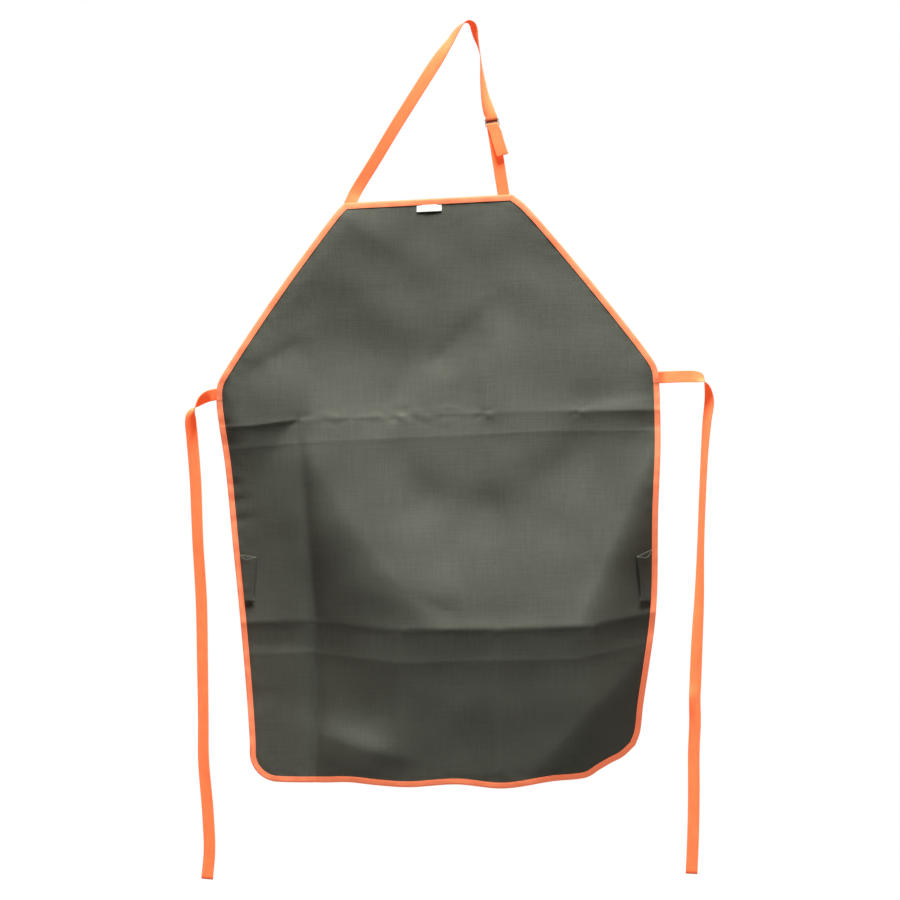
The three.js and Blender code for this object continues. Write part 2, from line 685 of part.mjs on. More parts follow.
function strapSlider() {
  const halfWidth = SLIDER.width / 2;
  const halfHeight = SLIDER.height / 2;
  const round = SLIDER.rounding;
  const plate = new THREE.Shape();
  plate.absarc(halfWidth - round, halfHeight - round, round, 0, QUARTER, false);
  plate.absarc(round - halfWidth, halfHeight - round, round, QUARTER, 2 * QUARTER, false);
  plate.absarc(round - halfWidth, round - halfHeight, round, 2 * QUARTER, 3 * QUARTER, false);
  plate.absarc(halfWidth - round, round - halfHeight, round, 3 * QUARTER, 4 * QUARTER, false);
  plate.holes.push(slotHole(-SLOT_CENTRE), slotHole(SLOT_CENTRE));
  const options = { depth: SLIDER.thickness, bevelEnabled: false, curveSegments: ROUNDING_STEPS };
  const geometry = new THREE.ExtrudeGeometry(plate, options);
  geometry.translate(0, 0, -SLIDER.thickness / 2);
  const slider = named('strap_slider', geometry, NICKEL);
  slider.position.copy(sliderCentre);
  slider.rotation.set(QUARTER, 0, SLIDER_LEAN, 'YXZ');
  return slider;
}

// Side loops

/** Ring of a side loop at a share of its height, 0 at the top. */
function loopRing(loop, share) {
  const offset = CLOTH / 2 + FOLD_GAP + CLOTH / 2;
  const reach = THREE.MathUtils.lerp(loop.top, loop.low, share);
  const line = LOOP_SECTION.map((row) => {
    const top = THREE.MathUtils.lerp(loop[row.layer], loop.fold, row.reach);
    const z = THREE.MathUtils.lerp(top, loop.bottom, share);
    const x = coverAt(loop.side, z) + loop.inwards * (GAP + CLOTH / 2 + row.reach * reach);
    return new THREE.Vector3(x, clothDepth(x, z) - offset - row.rise - row.flare * share, z);
  });
  const sides = line.map((point, i) => {
    const before = line[Math.max(i - 1, 0)];
    const after = line[Math.min(i + 1, line.length - 1)];
    const normal = new THREE.Vector3(before.y - after.y, after.x - before.x, 0).setLength(CLOTH / 2);
    return { out: point.clone().add(normal), in: point.clone().sub(normal) };
  });
  return [...sides.map((side) => side.out), ...sides.map((side) => side.in).reverse()];
}

/** Inner edge of the binding on a side at a height. */
function coverAt(side, z) {
  const start = side === 'left' ? COLUMNS * 2 + ROWS : COLUMNS;
  const places = coverEdge.slice(start, start + ROWS);
  const falling = side === 'left' ? places.reverse() : places;
  return edgeAtHeight(falling, z).x;
}

function sideLoop(loop) {
  const rings = [];
  for (let i = 0; i <= LOOP_ROWS; i += 1) {
    rings.push(loopRing(loop, i / LOOP_ROWS));
  }
  const size = rings[0].length;
  const caps = LOOP_SECTION.slice(1).map((_, i) => [i, i + 1, size - 2 - i, size - 1 - i]);
  return named(loop.name, sweptSolid(rings, caps), COATED_CLOTH);
}

// Label

function label() {
  const geometry = new THREE.BoxGeometry(LABEL.width, LABEL.thickness, LABEL.height);
  const mesh = named('label', geometry, WHITE_WOVEN);
  const share = (LABEL.x - coverEdge[0].x) / (coverEdge[COLUMNS].x - coverEdge[0].x);
  const edge = coverEdge[0].clone().lerp(coverEdge[COLUMNS], share);
  const z = edge.z - LABEL.drop - LABEL.height / 2;
  mesh.position.set(LABEL.x, clothDepth(LABEL.x, z) - CLOTH / 2 - FOLD_GAP - LABEL.thickness / 2, z);
  mesh.rotation.y = -LABEL.tilt;
  return mesh;
}

const apron = new THREE.Group();
apron.add(apronBody(), ...bindings(), ...straps(), strapSlider(), ...SIDE_LOOPS.map(sideLoop), label());

export default apron;
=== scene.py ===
import math
from collections import namedtuple

import bpy
import numpy as np
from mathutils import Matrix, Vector, noise


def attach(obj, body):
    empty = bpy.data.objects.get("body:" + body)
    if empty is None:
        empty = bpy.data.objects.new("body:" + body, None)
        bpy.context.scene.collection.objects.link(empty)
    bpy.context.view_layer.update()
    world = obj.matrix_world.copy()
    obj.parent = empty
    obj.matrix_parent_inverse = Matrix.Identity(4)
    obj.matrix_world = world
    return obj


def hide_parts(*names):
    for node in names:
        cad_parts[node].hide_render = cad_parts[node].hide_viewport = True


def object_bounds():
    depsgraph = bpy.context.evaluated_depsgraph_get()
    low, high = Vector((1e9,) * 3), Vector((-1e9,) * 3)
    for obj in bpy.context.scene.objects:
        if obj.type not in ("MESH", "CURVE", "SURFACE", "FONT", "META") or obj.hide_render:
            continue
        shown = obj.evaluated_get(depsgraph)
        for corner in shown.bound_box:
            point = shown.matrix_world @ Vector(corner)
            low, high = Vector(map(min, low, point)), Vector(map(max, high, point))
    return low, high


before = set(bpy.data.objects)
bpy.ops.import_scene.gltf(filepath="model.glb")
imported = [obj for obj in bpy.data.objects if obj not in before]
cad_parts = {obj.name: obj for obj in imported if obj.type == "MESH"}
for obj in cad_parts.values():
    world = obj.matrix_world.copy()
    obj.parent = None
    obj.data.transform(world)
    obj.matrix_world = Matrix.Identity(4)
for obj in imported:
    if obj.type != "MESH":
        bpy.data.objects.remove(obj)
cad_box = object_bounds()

MM = 0.001
BODY = "root"
AWAY = np.array((0.0, 1.0, 0.0))

# Sizes
CLOTH = 1.0
TAPE_WIDTH = 20
TAPE = 1.2
BINDING_WALL = 0.5
CLOTH_EDGE = 1.6
BINDING_COVER = 10
GAP = 0.3
FOLD_GAP = 0.6
SLIDER_WIDTH, SLIDER_HEIGHT, SLIDER_WALL = 24.2, 14, 1.8
SLIDER_BAR, SLIDER_MIDDLE_BAR, SLIDER_SLOT_WIDTH, SLIDER_ROUNDING = 2.2, 3.0, 20.8, 1.5
SLIDER_CENTRE = np.array((41.0, 0.0, -170.5))
SLIDER_LEAN = math.radians(9)
SLIDER_LEAD_IN = 2
BEND_RADIUS = 1
LABEL_WIDTH, LABEL_HEIGHT, LABEL_WALL = 42.5, 11.4, 0.6
LABEL_X, LABEL_DROP, LABEL_TILT, LABEL_LIFT, LABEL_WAVE = -66, 0.4, 0.05, 0.5, 0.25
STITCH_PITCH, STITCH_LENGTH, STITCH_AHEAD, STITCH_BOW, THREAD = 3.4, 2.6, 0.5, 0.25, 0.55
SEAM_INSET = 2.2
STITCH_RISE = 1.12
# Rounded edges
TAPE_ROUNDING, LOOP_ROUNDING, LABEL_ROUNDING, SLIDER_EDGE_ROUNDING = 0.35, 0.2, 0.15, 0.55

# How far each mark reaches: pale rubbed creases, dust and painted shade along the binding, sealed cut ends,
# painted shade on the webbing round the hook, and painted shade on the webbing down in the slider's slots
CREASE_RUB, UPRIGHT_RUB, UPRIGHT_SHARE = 3, 9, 0.5
SEAM_DUST_AND_SHADE = 2.2
CUT_END = 1.6
HOOK_SHADE_REACH = 45
SLOT_SHADE_FRONT, SLOT_SHADE_FADE = -2.8, 1.2

# The photograph's frame
PHOTO_PIXELS = 900
MM_PER_PIXEL = 1.7
PHOTO_CENTRE = (-30.6, -727.6)
LENS, SENSOR = 400, 36

# The studio, in metres
LIGHT_AIM = (0, 0, -0.8)
FLOOR_DROP, FLOOR_RADIUS = 0.14, 1.5
SURROUND_RADIUS = 60

# Fineness of the meshes
COLUMNS = 176
ROW_STEPS = 6
EDGE_STEPS = 30
STRAP_STEPS = 10
STRAP_ACROSS = 8
BEND_STEPS = 6
LEG_STEPS = 16
LOOP_STEPS = 5
LOOP_ROWS = 24
LABEL_COLUMNS, LABEL_ROWS = 24, 8
# A corner is mitred over MITRE_STEPS points each way where the cosine of half its turn is below MITRE_HALFWAY
MITRE_HALFWAY = 0.98
MITRE_STEPS = 3
# Places closer than this count as one
NEAR = 0.1

# Outline of the bound apron, from the bib's corners down to the skirt's corners
Point = namedtuple("Point", "x z")
LEFT_EDGE = [
    Point(-210, -308), Point(-222, -320), Point(-280, -396), Point(-335, -473), Point(-403, -575),
    Point(-424, -610), Point(-428, -624), Point(-428, -651), Point(-424, -685), Point(-414, -753),
    Point(-401, -889), Point(-388, -1025), Point(-377, -1161), Point(-373, -1229),
]
RIGHT_EDGE = [
    Point(75, -293), Point(98, -311), Point(309, -566), Point(322, -589), Point(325, -609),
    Point(327, -651), Point(328, -719), Point(324, -838), Point(323, -966), Point(319, -1025),
    Point(310, -1093), Point(300, -1161), Point(294, -1212), Point(286, -1233),
]
HEM = [
    Point(-245, -1296), Point(-204, -1295), Point(-153, -1300), Point(-102, -1303), Point(-20, -1298),
    Point(61, -1305), Point(143, -1293), Point(204, -1286), Point(224, -1274), Point(245, -1262),
    Point(265, -1252), Point(286, -1233),
]
CORNER_CENTRE, CORNER_RADIUS = Point(-323, -1245), 50

# Levels of the cloth grid by height on each side; steps counts the coarse rows down to a level, and each of
# those is ROW_STEPS rows of the mesh
Level = namedtuple("Level", "name left right steps")
LEVELS = [
    Level("bib top", -308, -293, 0),
    Level("waist", -624, -595, 13),
    Level("tape join", -644, -614, 1),
    Level("waist crease", -690, -659, 3),
    Level("below waist", -727, -694, 3),
    Level("skirt crease", -1022, -1003, 11),
    Level("below skirt", -1075, -1053, 3),
    Level("lower corner", -1280, -1233, 9),
]

# Storage creases across the apron, by stations from left to right: each lifts the cloth towards the viewer by
# lift, which dies away over one width above the line and another below
Station = namedtuple("Station", "x z lift above below")
WAIST_CREASE = [
    Station(-428, -689, 1.2, 30, 8), Station(-375, -687, 1.2, 35, 7), Station(-288, -676, 1.1, 40, 7),
    Station(-266, -675, 5, 42, 300), Station(-119, -669, 6, 45, 400), Station(31, -664, 6, 45, 300),
    Station(95, -662, 6, 50, 200), Station(180, -661, 6.6, 65, 30), Station(328, -659, 7.2, 80, 26),
]
BELOW_WAIST = [
    Station(-424, -727, 0.6, 16, 8), Station(-280, -714, 0.6, 16, 8), Station(-38, -703, 0.6, 16, 8),
    Station(142, -695, 0.8, 16, 8), Station(328, -694, 0.6, 16, 8),
]
SKIRT_CREASE = [
    Station(-388, -1022, 2, 24, 8), Station(-263, -1017, 1.6, 24, 8), Station(-133, -1032, 2, 24, 8),
    Station(60, -1031, 2, 24, 8), Station(202, -1026, 2, 24, 9), Station(322, -1003, 4.5, 22, 13),
]
BELOW_SKIRT = [
    Station(-383, -1075, 0.6, 10, 12), Station(-263, -1072, 0.6, 10, 12), Station(-116, -1089, 0.6, 10, 12),
    Station(189, -1082, 0.6, 10, 12), Station(312, -1053, 0.8, 10, 12),
]
CREASES = [WAIST_CREASE, BELOW_WAIST, SKIRT_CREASE, BELOW_SKIRT]
WAIST_TURN, WAIST_SOFTNESS = -0.096, 8
SKIRT_TURN, SKIRT_SOFTNESS = 0.2, 3

# Bends: beyond its line, below or right of it, the cloth turns back by slope, softly at first
Bend = namedtuple("Bend", "name x0 z0 x1 z1 sag slope softness")
BIB_BEND = Bend("bib", -428, -290, 328, -290, 0, 0.06, 20)
CURL = Bend("lower right corner", 85, -1300, 325, -1040, 0, 0.28, 45)
# Beyond its flanks the middle panel, from waist to skirt crease, falls back to the side panels
FLANKS = [
    Bend("left flank", -288, -673, -38, -1030, 26, 0.42, 90),
    Bend("right flank", 188, -1020, 308, -735, 0, 0.9, 75),
]
SIDE_BACK = 0.2

# Folds: each lies along a line that sags by sag at mid length, lifts the cloth towards the viewer by lift at
# its first end and by last at its other, and dies away over two widths, a above or right of the line and b
# below or left. Power 1 is a pressed crease and power 2 a soft roll.
Fold = namedtuple("Fold", "name x0 z0 x1 z1 sag lift last a b power")
FOLDS = [
    Fold("waist edge left", -430, -596, -424, -684, 0, 0, -11, 22, 20, 2),
    Fold("left edge curl", -419, -720, -405, -860, 0, -10, -2, 22, 20, 2),
    Fold("waist edge right", 328, -580, 328, -648, 0, 0, -7, 20, 30, 2),
    Fold("right edge curl", 328, -689, 326, -790, 0, -6, -1, 20, 30, 2),
    Fold("belly", -90, -965, 190, -965, 0, 3.5, 1.5, 95, 60, 2),
    Fold("belly overhang", -149, -957, -40, -1000, 0, -0.5, -1.4, 18, 30, 1.4),
    Fold("hollow left", -122, -742, -78, -810, 0, -2.4, -3, 42, 70, 2),
    Fold("hollow", -65, -815, 15, -832, 0, -3, -3, 45, 100, 2),
    Fold("hollow right", 55, -820, 190, -740, 0, -3, -3.6, 42, 90, 2),
    Fold("bib left roll", -352, -560, -200, -345, 0, 3, 6, 40, 70, 2),
    Fold("bib right roll", 60, -640, 290, -625, 0, 7, 7, 160, 220, 2),
    Fold("bib lower roll", -330, -668, 60, -655, 0, 5, 5, 110, 250, 2),
    Fold("bib hollow", -285, -525, -130, -618, 0, -4, -5.4, 80, 70, 2),
    Fold("bib left fold", -352, -588, -300, -556, 0, -1.8, -1.8, 16, 34, 2),
    Fold("bib crease", -42, -568, 43, -488, 0, -2, -1, 20, 40, 2),
    Fold("bib right fold", 195, -642, 318, -626, 0, -2.2, -2.2, 30, 18, 2),
    Fold("bib pleat", 20, -560, 31, -655, 0, 0, 2, 22, 14, 1.4),
    Fold("hem drape", -222, -1226, -170, -1242, 0, 9, 8, 40, 140, 1.8),
    Fold("hem drape end", -165, -1244, -118, -1256, 0, 3, 2, 26, 90, 1.8),
    Fold("skirt left", -345, -1060, -345, -1300, 0, 0, 11, 95, 90, 2),
    Fold("skirt edge", -378, -1152, -340, -1146, 0, -2, -0.8, 20, 24, 1.6),
    Fold("left edge high", -412, -786, -398, -784, 0, -1.6, -0.6, 7, 12, 1.5),
    Fold("left edge mid", -409, -815, -372, -811, 0, -1.6, -0.4, 7, 12, 1.5),
    Fold("left edge low", -406, -848, -365, -842, 0, -1.6, -0.4, 8, 14, 1.5),
    Fold("left edge slant", -400, -908, -300, -878, 0, -1.2, -0.8, 30, 80, 1.8),
]
# Upright storage folds of the skirt
UPRIGHT_FOLDS = [
    Fold("upright mid", -118, -1050, -112, -1230, 0, 1.4, 1.4, 34, 24, 1.2),
    Fold("upright right", 46, -1050, 50, -1270, 0, 1.4, 1.4, 28, 28, 1.2),
    Fold("upright far", 208, -1050, 208, -1200, 0, 1.4, 1.4, 28, 28, 1.2),
]
FOLD_FADE = 45
# Folds of the left side panel, which run on down the skirt from its crease and deepen a little for each mm
SIDE_DEEPEN = 0.0005
SIDE_FOLDS = [
    Fold("left crease", -286, -685, -258, -1045, 0, 0, -8, 10, 11, 1.2),
    Fold("left gutter", -272, -735, -250, -1045, 0, 0, -12, 56, 24, 1.4),
    Fold("left panel", -335, -860, -335, -1045, 0, 0, 3, 50, 60, 2),
]
# Knots where the upright storage folds cross a crease, with short creases that run out from them
Knot = namedtuple("Knot", "x z depth reach")
KNOTS = [
    Knot(-286, -676, 0.4, 24), Knot(-119, -669, 0.7, 26), Knot(29, -664, 0.7, 30),
    Knot(190, -660, 0.6, 28), Knot(-263, -1018, 0.5, 24), Knot(-116, -1032, 0.5, 22),
    Knot(46, -1031, 0.5, 22), Knot(207, -1026, 0.5, 22),
]
# Each of a knot's creases by its angle and its share of the depth; a share below nought stands up
KNOT_CREASES = {35: 1.0, 140: 0.8, 215: 1.0, 330: -0.8}
KNOT_WIDTH, KNOT_START, KNOT_POWER = 4.5, 7, 1.5
# Crumpled band along the middle of the waist crease
CRUMPLE, CRUMPLE_SIZE, CRUMPLE_BAND, CRUMPLE_STRETCH = 0.7, 13, 18, 1.5
CRUMPLE_CENTRE, CRUMPLE_REACH = -115, 165
# Puckers along the binding, and shallow waves all over
PUCKER, PUCKER_SIZE, PUCKER_FADE = 1.1, 17, 16
WAVE, WAVE_SIZE = 1.4, 75

# Webbing runs by centre line, depth and twist in degrees; a row with no depth is sewn on behind the edge.
# The ties' depths count from TIE_BACK, about the depth of the waist.
TIE_BACK = 19
Row = namedtuple("Row", "x z y twist", defaults=(None, None))
NECK_STRAP = [
    Row(-205, -319), Row(-199, -306), Row(-191, -289, 3.5, -10), Row(-158, -235, 4, -12),
    Row(-125, -180, 3, -6), Row(-91, -126, 2, -2), Row(-56, -71, 1, 12), Row(-38, -44, 0, 42),
    Row(-29, -31, 0, 56), Row(-20.5, -17, 0, 64), Row(-11.5, -5.5, 0, 79), Row(0, 0.6, 0, 101),
    Row(7.5, -4, 0, 118), Row(11, -14, 0, 122), Row(13.5, -26, 0, 112), Row(17, -39, 0, 98),
    Row(20.5, -54, 0, 90), Row(22.5, -75, -0.5, 82), Row(25, -99, -1, 66), Row(29, -126, -1.5, 48),
    Row(34, -146, -1.8, 20), Row(37, -156, -1.8, 5),
]
TAIL = [Row(47, -187, -3.5, 0), Row(52.5, -207, -4.2, 0), Row(59, -227, -4.2, 0)]
TIE_LEFT = [
    Row(-416, -632), Row(-428, -633), Row(-439, -635, 4, 16), Row(-447.5, -638.5, 3, 30),
    Row(-456, -644.5, 0, 52), Row(-462, -651, -3, 78), Row(-467, -658.5, -4, 106),
    Row(-470.5, -667, -2, 140), Row(-472, -678, 1.5, 164), Row(-470, -702, 5.5, 172),
    Row(-464, -779, 7.5, 168), Row(-460, -881, 8, 160), Row(-454, -983, 8, 165),
    Row(-452, -1085, 6, 160), Row(-450.5, -1187, 4, 155), Row(-450, -1256, 3, 160),
    Row(-443, -1340, 2, 172), Row(-440, -1408, 2, 172), Row(-444, -1458, 2, 175),
]
TIE_RIGHT = [
    Row(313, -604), Row(325, -604), Row(338, -603.5, 3.5, 6), Row(366, -602.5, 2, 8),
    Row(383, -602.5, 1, 12), Row(394, -604.5, 0, 30), Row(401, -609.5, 0, 78),
    Row(406, -617.5, 0, 108), Row(409.5, -630, 0, 128), Row(410.5, -648, 1, 142),
    Row(407, -677, 3, 136), Row(403, -728, 5, 126), Row(399, -812, 6, 122), Row(396, -898, 6, 124),
    Row(393.5, -983, 5, 142), Row(390, -1050, 4, 162), Row(387, -1125, 4, 178),
    Row(386, -1148, 2, 192), Row(386.5, -1190, 4, 176), Row(384.5, -1240, 5, 172),
    Row(384.5, -1315, 4, 176), Row(383, -1390, 3, 178), Row(380.5, -1449, 2, 180),
]
SHORT_FOLD_BACK, SHORT_LEGS, SHORT_LEVEL, SHORT_REACH, SHORT_END = 22, 0.8, 30, 108, 133

# Side loops by the heights of the back layer's end, the folded edge and the front layer's end, and how far
# the folded edge stands in from the binding at its top and bottom
Loop = namedtuple("Loop", "name side inwards back fold front bottom top low")
SIDE_LOOPS = [
    Loop("side_loop_left", "left", 1, -906, -910, -916, -986, 27, 13),
    Loop("side_loop_right", "right", -1, -897, -909, -911, -986, 25, 15),
]
# Section of a loop: share of the way to the folded edge, rise in front of the cloth, and share of the front
# layer's height. Towards its bottom the loop is pressed down to its two layers: LOOP_LAYER is the rise of one
# over the other, and LOOP_SEAT that of the back layer over the middle of the cloth.
Section = namedtuple("Section", "reach rise front")
LOOP_SECTION = [
    Section(0, 0, 0), Section(0.4, 0, 0), Section(0.86, 0.2, 0), Section(1, 1.8, 0.5),
    Section(0.86, 3.4, 1), Section(0.4, 3.2, 1), Section(0, 1.2, 0),
]
LOOP_LAYER, LOOP_SEAT = 1.2, 1.25

# Section of the binding's tape: distance in from the bound edge, and rise from the middle of the cloth
Lap = namedtuple("Lap", "reach rise")
BINDING_SECTION = [
    Lap(10.0, -0.86), Lap(9.0, -0.82), Lap(7.8, -0.8), Lap(6.4, -0.94), Lap(4.4, -1.06), Lap(2.4, -1.0),
    Lap(1.1, -0.78), Lap(0.4, 0), Lap(1.1, 0.78), Lap(2.4, 1.0), Lap(4.4, 1.06), Lap(6.4, 0.94),
    Lap(7.8, 0.8), Lap(9.0, 0.82), Lap(10.0, 0.86),
]


# Mesh helpers

def unit(vectors):
    return vectors / np.linalg.norm(vectors, axis=-1, keepdims=True)


def deselect():
    bpy.ops.object.select_all(action="DESELECT")


def laid_sheet(name, places, flat):
    """A grid whose points are laid at their places; flat holds where each lies on the uncut goods."""
    rows, columns = places.shape[:2]
    deselect()
    bpy.ops.mesh.primitive_grid_add(x_subdivisions=columns - 1, y_subdivisions=rows - 1, size=1)
    piece = bpy.context.object
    piece.name = name
    mesh = piece.data
    mesh.name = name
    start = np.zeros(len(mesh.vertices) * 3)
    mesh.vertices.foreach_get("co", start)
    start = start.reshape(-1, 3) + 0.5
    column = np.rint(start[:, 0] * (columns - 1)).astype(int)
    row = np.rint(start[:, 1] * (rows - 1)).astype(int)
    mesh.vertices.foreach_set("co", (places[row, column] * MM).ravel())
    corners = np.zeros(len(mesh.loops), int)
    mesh.loops.foreach_get("vertex_index", corners)
    mesh.uv_layers.active.data.foreach_set("uv", (flat[row, column][corners] * MM).ravel())
    mesh.update()
    return piece, row, column


def paint(piece, name, values):
    """Stores one number for each point of a piece, for its material to read."""
    piece.data.attributes.new(name, "FLOAT", "POINT").data.foreach_set("value", values)


def apply_modifier(piece, kind, **settings):
    bpy.context.view_layer.objects.active = piece
    bpy.ops.object.modifier_add(type=kind)
    modifier = piece.modifiers[-1]
    for name, value in settings.items():
        setattr(modifier, name, value)
    bpy.ops.object.modifier_apply(modifier=modifier.name)


def thicken(piece, wall, rounding=0.0):
    apply_modifier(piece, "SOLIDIFY", thickness=wall * MM, offset=0, use_even_offset=True)
    if rounding:
        apply_modifier(piece, "BEVEL", width=rounding * MM, segments=2, limit_method="ANGLE",
                       angle_limit=math.radians(60))


def settle(piece, slot, *materials, nodes=()):
    """Gives a finished piece its shading, materials and body, and hides the solids that it stands for; slot
    is not used.
    """
    deselect()
    piece.select_set(True)
    bpy.context.view_layer.objects.active = piece
    bpy.ops.object.shade_smooth_by_angle(angle=math.radians(50))
    piece.data.materials.clear()
    for material in materials:
        piece.data.materials.append(material)
    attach(piece, BODY)
    if nodes:
        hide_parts(*nodes)
    return piece


# Curves and the apron's outline

def smooth_curve(rows, steps):
    """Centripetal curve through rows, whose first three columns are the place and the others follow along."""
    rows = np.asarray(rows, float)
    ends = np.vstack([2 * rows[0] - rows[1], rows, 2 * rows[-1] - rows[-2]])
    knots = np.sqrt(np.linalg.norm(np.diff(ends[:, :3], axis=0), axis=1))
    share = np.linspace(0, 1, steps, endpoint=False)[:, None]
    runs = []
    for i in range(len(rows) - 1):
        p0, p1, p2, p3 = ends[i:i + 4]
        d0, d1, d2 = knots[i:i + 3]
        leave = ((p1 - p0) / d0 - (p2 - p0) / (d0 + d1) + (p2 - p1) / d1) * d1
        reach = ((p2 - p1) / d1 - (p3 - p1) / (d1 + d2) + (p3 - p2) / d2) * d1
        square = 3 * (p2 - p1) - 2 * leave - reach
        cube = 2 * (p1 - p2) + leave + reach
        runs.append(p1 + leave * share + square * share ** 2 + cube * share ** 3)
    return np.vstack([*runs, rows[-1:]])


def run_along(line):
    """How far along a line each of its points lies."""
    return np.concatenate([[0], np.cumsum(np.linalg.norm(np.diff(line, axis=0), axis=1))])


def points_at(line, at):
    """Points of a line at given distances along it."""
    run = run_along(line)
    return np.column_stack([np.interp(at, run, values) for values in line.T])


def spread_out(across, along):
    """Where the places of a sheet lie on the uncut goods."""
    return np.stack(np.broadcast_arrays(across, along), axis=-1)


def arc(centre, radius, start, end, steps):
    """Points of an arc between two angles in degrees."""
    angles = np.radians(np.linspace(start, end, steps + 1))
    return np.column_stack([centre[0] + radius * np.cos(angles), centre[1] + radius * np.sin(angles)])


def side_points(edge, side):
    """Points of a side edge at the heights of the cloth grid's rows."""
    curve = smooth_curve(edge, EDGE_STEPS)
    heights = [getattr(LEVELS[0], side)]
    for upper, lower in zip(LEVELS, LEVELS[1:]):
        steps = np.linspace(getattr(upper, side), getattr(lower, side), lower.steps * ROW_STEPS + 1)
        heights.extend(steps[1:])
    heights = np.array(heights)
    points = np.column_stack([np.interp(-heights, -curve[:, 1], curve[:, 0]), heights])
    points[0], points[-1] = curve[0], curve[-1]
    return points


def hem_points():
    """Points of the hem at even distances, from the lower left corner to the lower right."""
    curve = smooth_curve(np.vstack([arc(CORNER_CENTRE, CORNER_RADIUS, 225, 270, 4), HEM]), EDGE_STEPS)
    return points_at(curve, np.linspace(0, run_along(curve)[-1], COLUMNS + 1))


left_side = side_points(np.vstack([LEFT_EDGE, arc(CORNER_CENTRE, CORNER_RADIUS, 180, 225, 4)]), "left")
right_side = side_points(RIGHT_EDGE, "right")
ROWS = len(left_side) - 1
bib_top = np.linspace(left_side[0], right_side[0], COLUMNS + 1)
# One loop: along the top, down the right, back along the hem and up the left
outline = np.vstack([bib_top[:-1], right_side[:-1], hem_points()[:0:-1], left_side[:0:-1]])


def inset(distance):
    """The outline moved inwards, square to the edges beside each point, with its sharp corners mitred."""
    before = unit(outline - np.roll(outline, 1, axis=0))
    after = unit(np.roll(outline, -1, axis=0) - outline)
    middle = unit(before + after)
    inward = np.column_stack([middle[:, 1], -middle[:, 0]])
    halfway = np.sum(before * middle, axis=1)
    moved = outline + inward * (distance / halfway)[:, None]
    for corner in np.flatnonzero(halfway < MITRE_HALFWAY):
        for way in (-1, 1):
            beside = (corner + way * np.arange(MITRE_STEPS + 1)) % len(outline)
            share = np.linspace(0, 1, MITRE_STEPS + 1)[:, None]
            moved[beside] = moved[beside[0]] * (1 - share) + moved[beside[-1]] * share
    return moved


# Depth of the cloth

def off_line(line, x, z):
    """Distance off a fold's or bend's line, above or right of it, distance past its ends, and share along."""
    length = math.hypot(line.x1 - line.x0, line.z1 - line.z0)
    rx, rz = (line.x1 - line.x0) / length, (line.z1 - line.z0) / length
    along = (x - line.x0) * rx + (z - line.z0) * rz
    share = np.clip(along / length, 0, 1)
    off = (z - line.z0) * rx - (x - line.x0) * rz + line.sag * 4 * share * (1 - share)
    return off, np.maximum(np.maximum(-along, along - length), 0), share


def turned(past, slope, softness):
    """How far back cloth lies at a distance past a bend."""
    return slope * past ** 2 / (past + softness)


def turned_back(bend, x, z):
    return turned(np.maximum(-off_line(bend, x, z)[0], 0), bend.slope, bend.softness)


def fold_lift(fold, x, z):
    off, over, share = off_line(fold, x, z)
    width = np.where(off > 0, fold.a, fold.b)
    lift = fold.lift + (fold.last - fold.lift) * share
    fade = min(FOLD_FADE, (fold.a + fold.b) / 2)
    return lift * np.exp(-((np.abs(off) / width) ** fold.power) - (over / fade) ** 2)


def along_crease(crease, x):
    """Height, lift and widths of a storage crease across the apron."""
    stations = np.array(crease)
    return [np.interp(x, stations[:, 0], values) for values in stations.T[1:]]


def below_crease(crease, x, z):
    return np.maximum(along_crease(crease, x)[0] - z, 0)


def crease_lift(crease, x, z):
    height, lift, above, below = along_crease(crease, x)
    off = z - height
    return lift * np.exp(-np.abs(off) / np.where(off > 0, above, below))


def knot_folds():
    """The short creases that run out from each knot."""
    folds = []
    for knot in KNOTS:
        for angle, share in KNOT_CREASES.items():
            along = np.array((math.cos(math.radians(angle)), math.sin(math.radians(angle))))
            near, far = (np.array((knot.x, knot.z)) + reach * along for reach in (KNOT_START, knot.reach))
            lift = -share * knot.depth
            folds.append(Fold("knot", *near, *far, 0, lift, 0, KNOT_WIDTH, KNOT_WIDTH, KNOT_POWER))
    return folds


def panel_depth(x, z):
    """Depth of the bib, the middle panel, the two side panels and the skirt."""
    waist = below_crease(WAIST_CREASE, x, z)
    drop = below_crease(SKIRT_CREASE, x, z)
    side = np.maximum(*(turned_back(flank, x, z + drop) for flank in FLANKS))
    back = SIDE_BACK * np.maximum(waist - drop, 0)
    # The lesser of the two, softly blended
    fallen = side * back / ((side ** 4 + back ** 4) ** 0.25 + 1e-9)
    bent = turned_back(BIB_BEND, x, z) + turned_back(CURL, x, z)
    bent = bent + turned(waist, WAIST_TURN, WAIST_SOFTNESS) + turned(drop, SKIRT_TURN, SKIRT_SOFTNESS)
    deepened = 1 + SIDE_DEEPEN * drop
    return fallen + bent - deepened * sum(fold_lift(fold, x, z + drop) for fold in SIDE_FOLDS)


def rumple(x, z, size):
    """Smooth seeded unevenness between about -1 and 1, of a size in millimetres."""
    places = zip(np.ravel(x), np.ravel(z))
    values = [noise.noise(Vector((px / size, pz / size, size))) for px, pz in places]
    return np.reshape(values, np.shape(x))


def crumpled(x, z):
    """Unevenness of the crumpled band along the waist crease."""
    off = z - along_crease(WAIST_CREASE, x)[0]
    near = np.exp(-(off / CRUMPLE_BAND) ** 2 - ((x - CRUMPLE_CENTRE) / CRUMPLE_REACH) ** 4)
    return CRUMPLE * rumple(x / CRUMPLE_STRETCH, z, CRUMPLE_SIZE) * near


def edge_distance(x, z):
    """Distance to the bound edge."""
    flat = np.column_stack([np.ravel(x), np.ravel(z)])
    nearest = [np.min(np.hypot(outline[:, 0] - px, outline[:, 1] - pz)) for px, pz in flat]
    return np.reshape(nearest, np.shape(x))


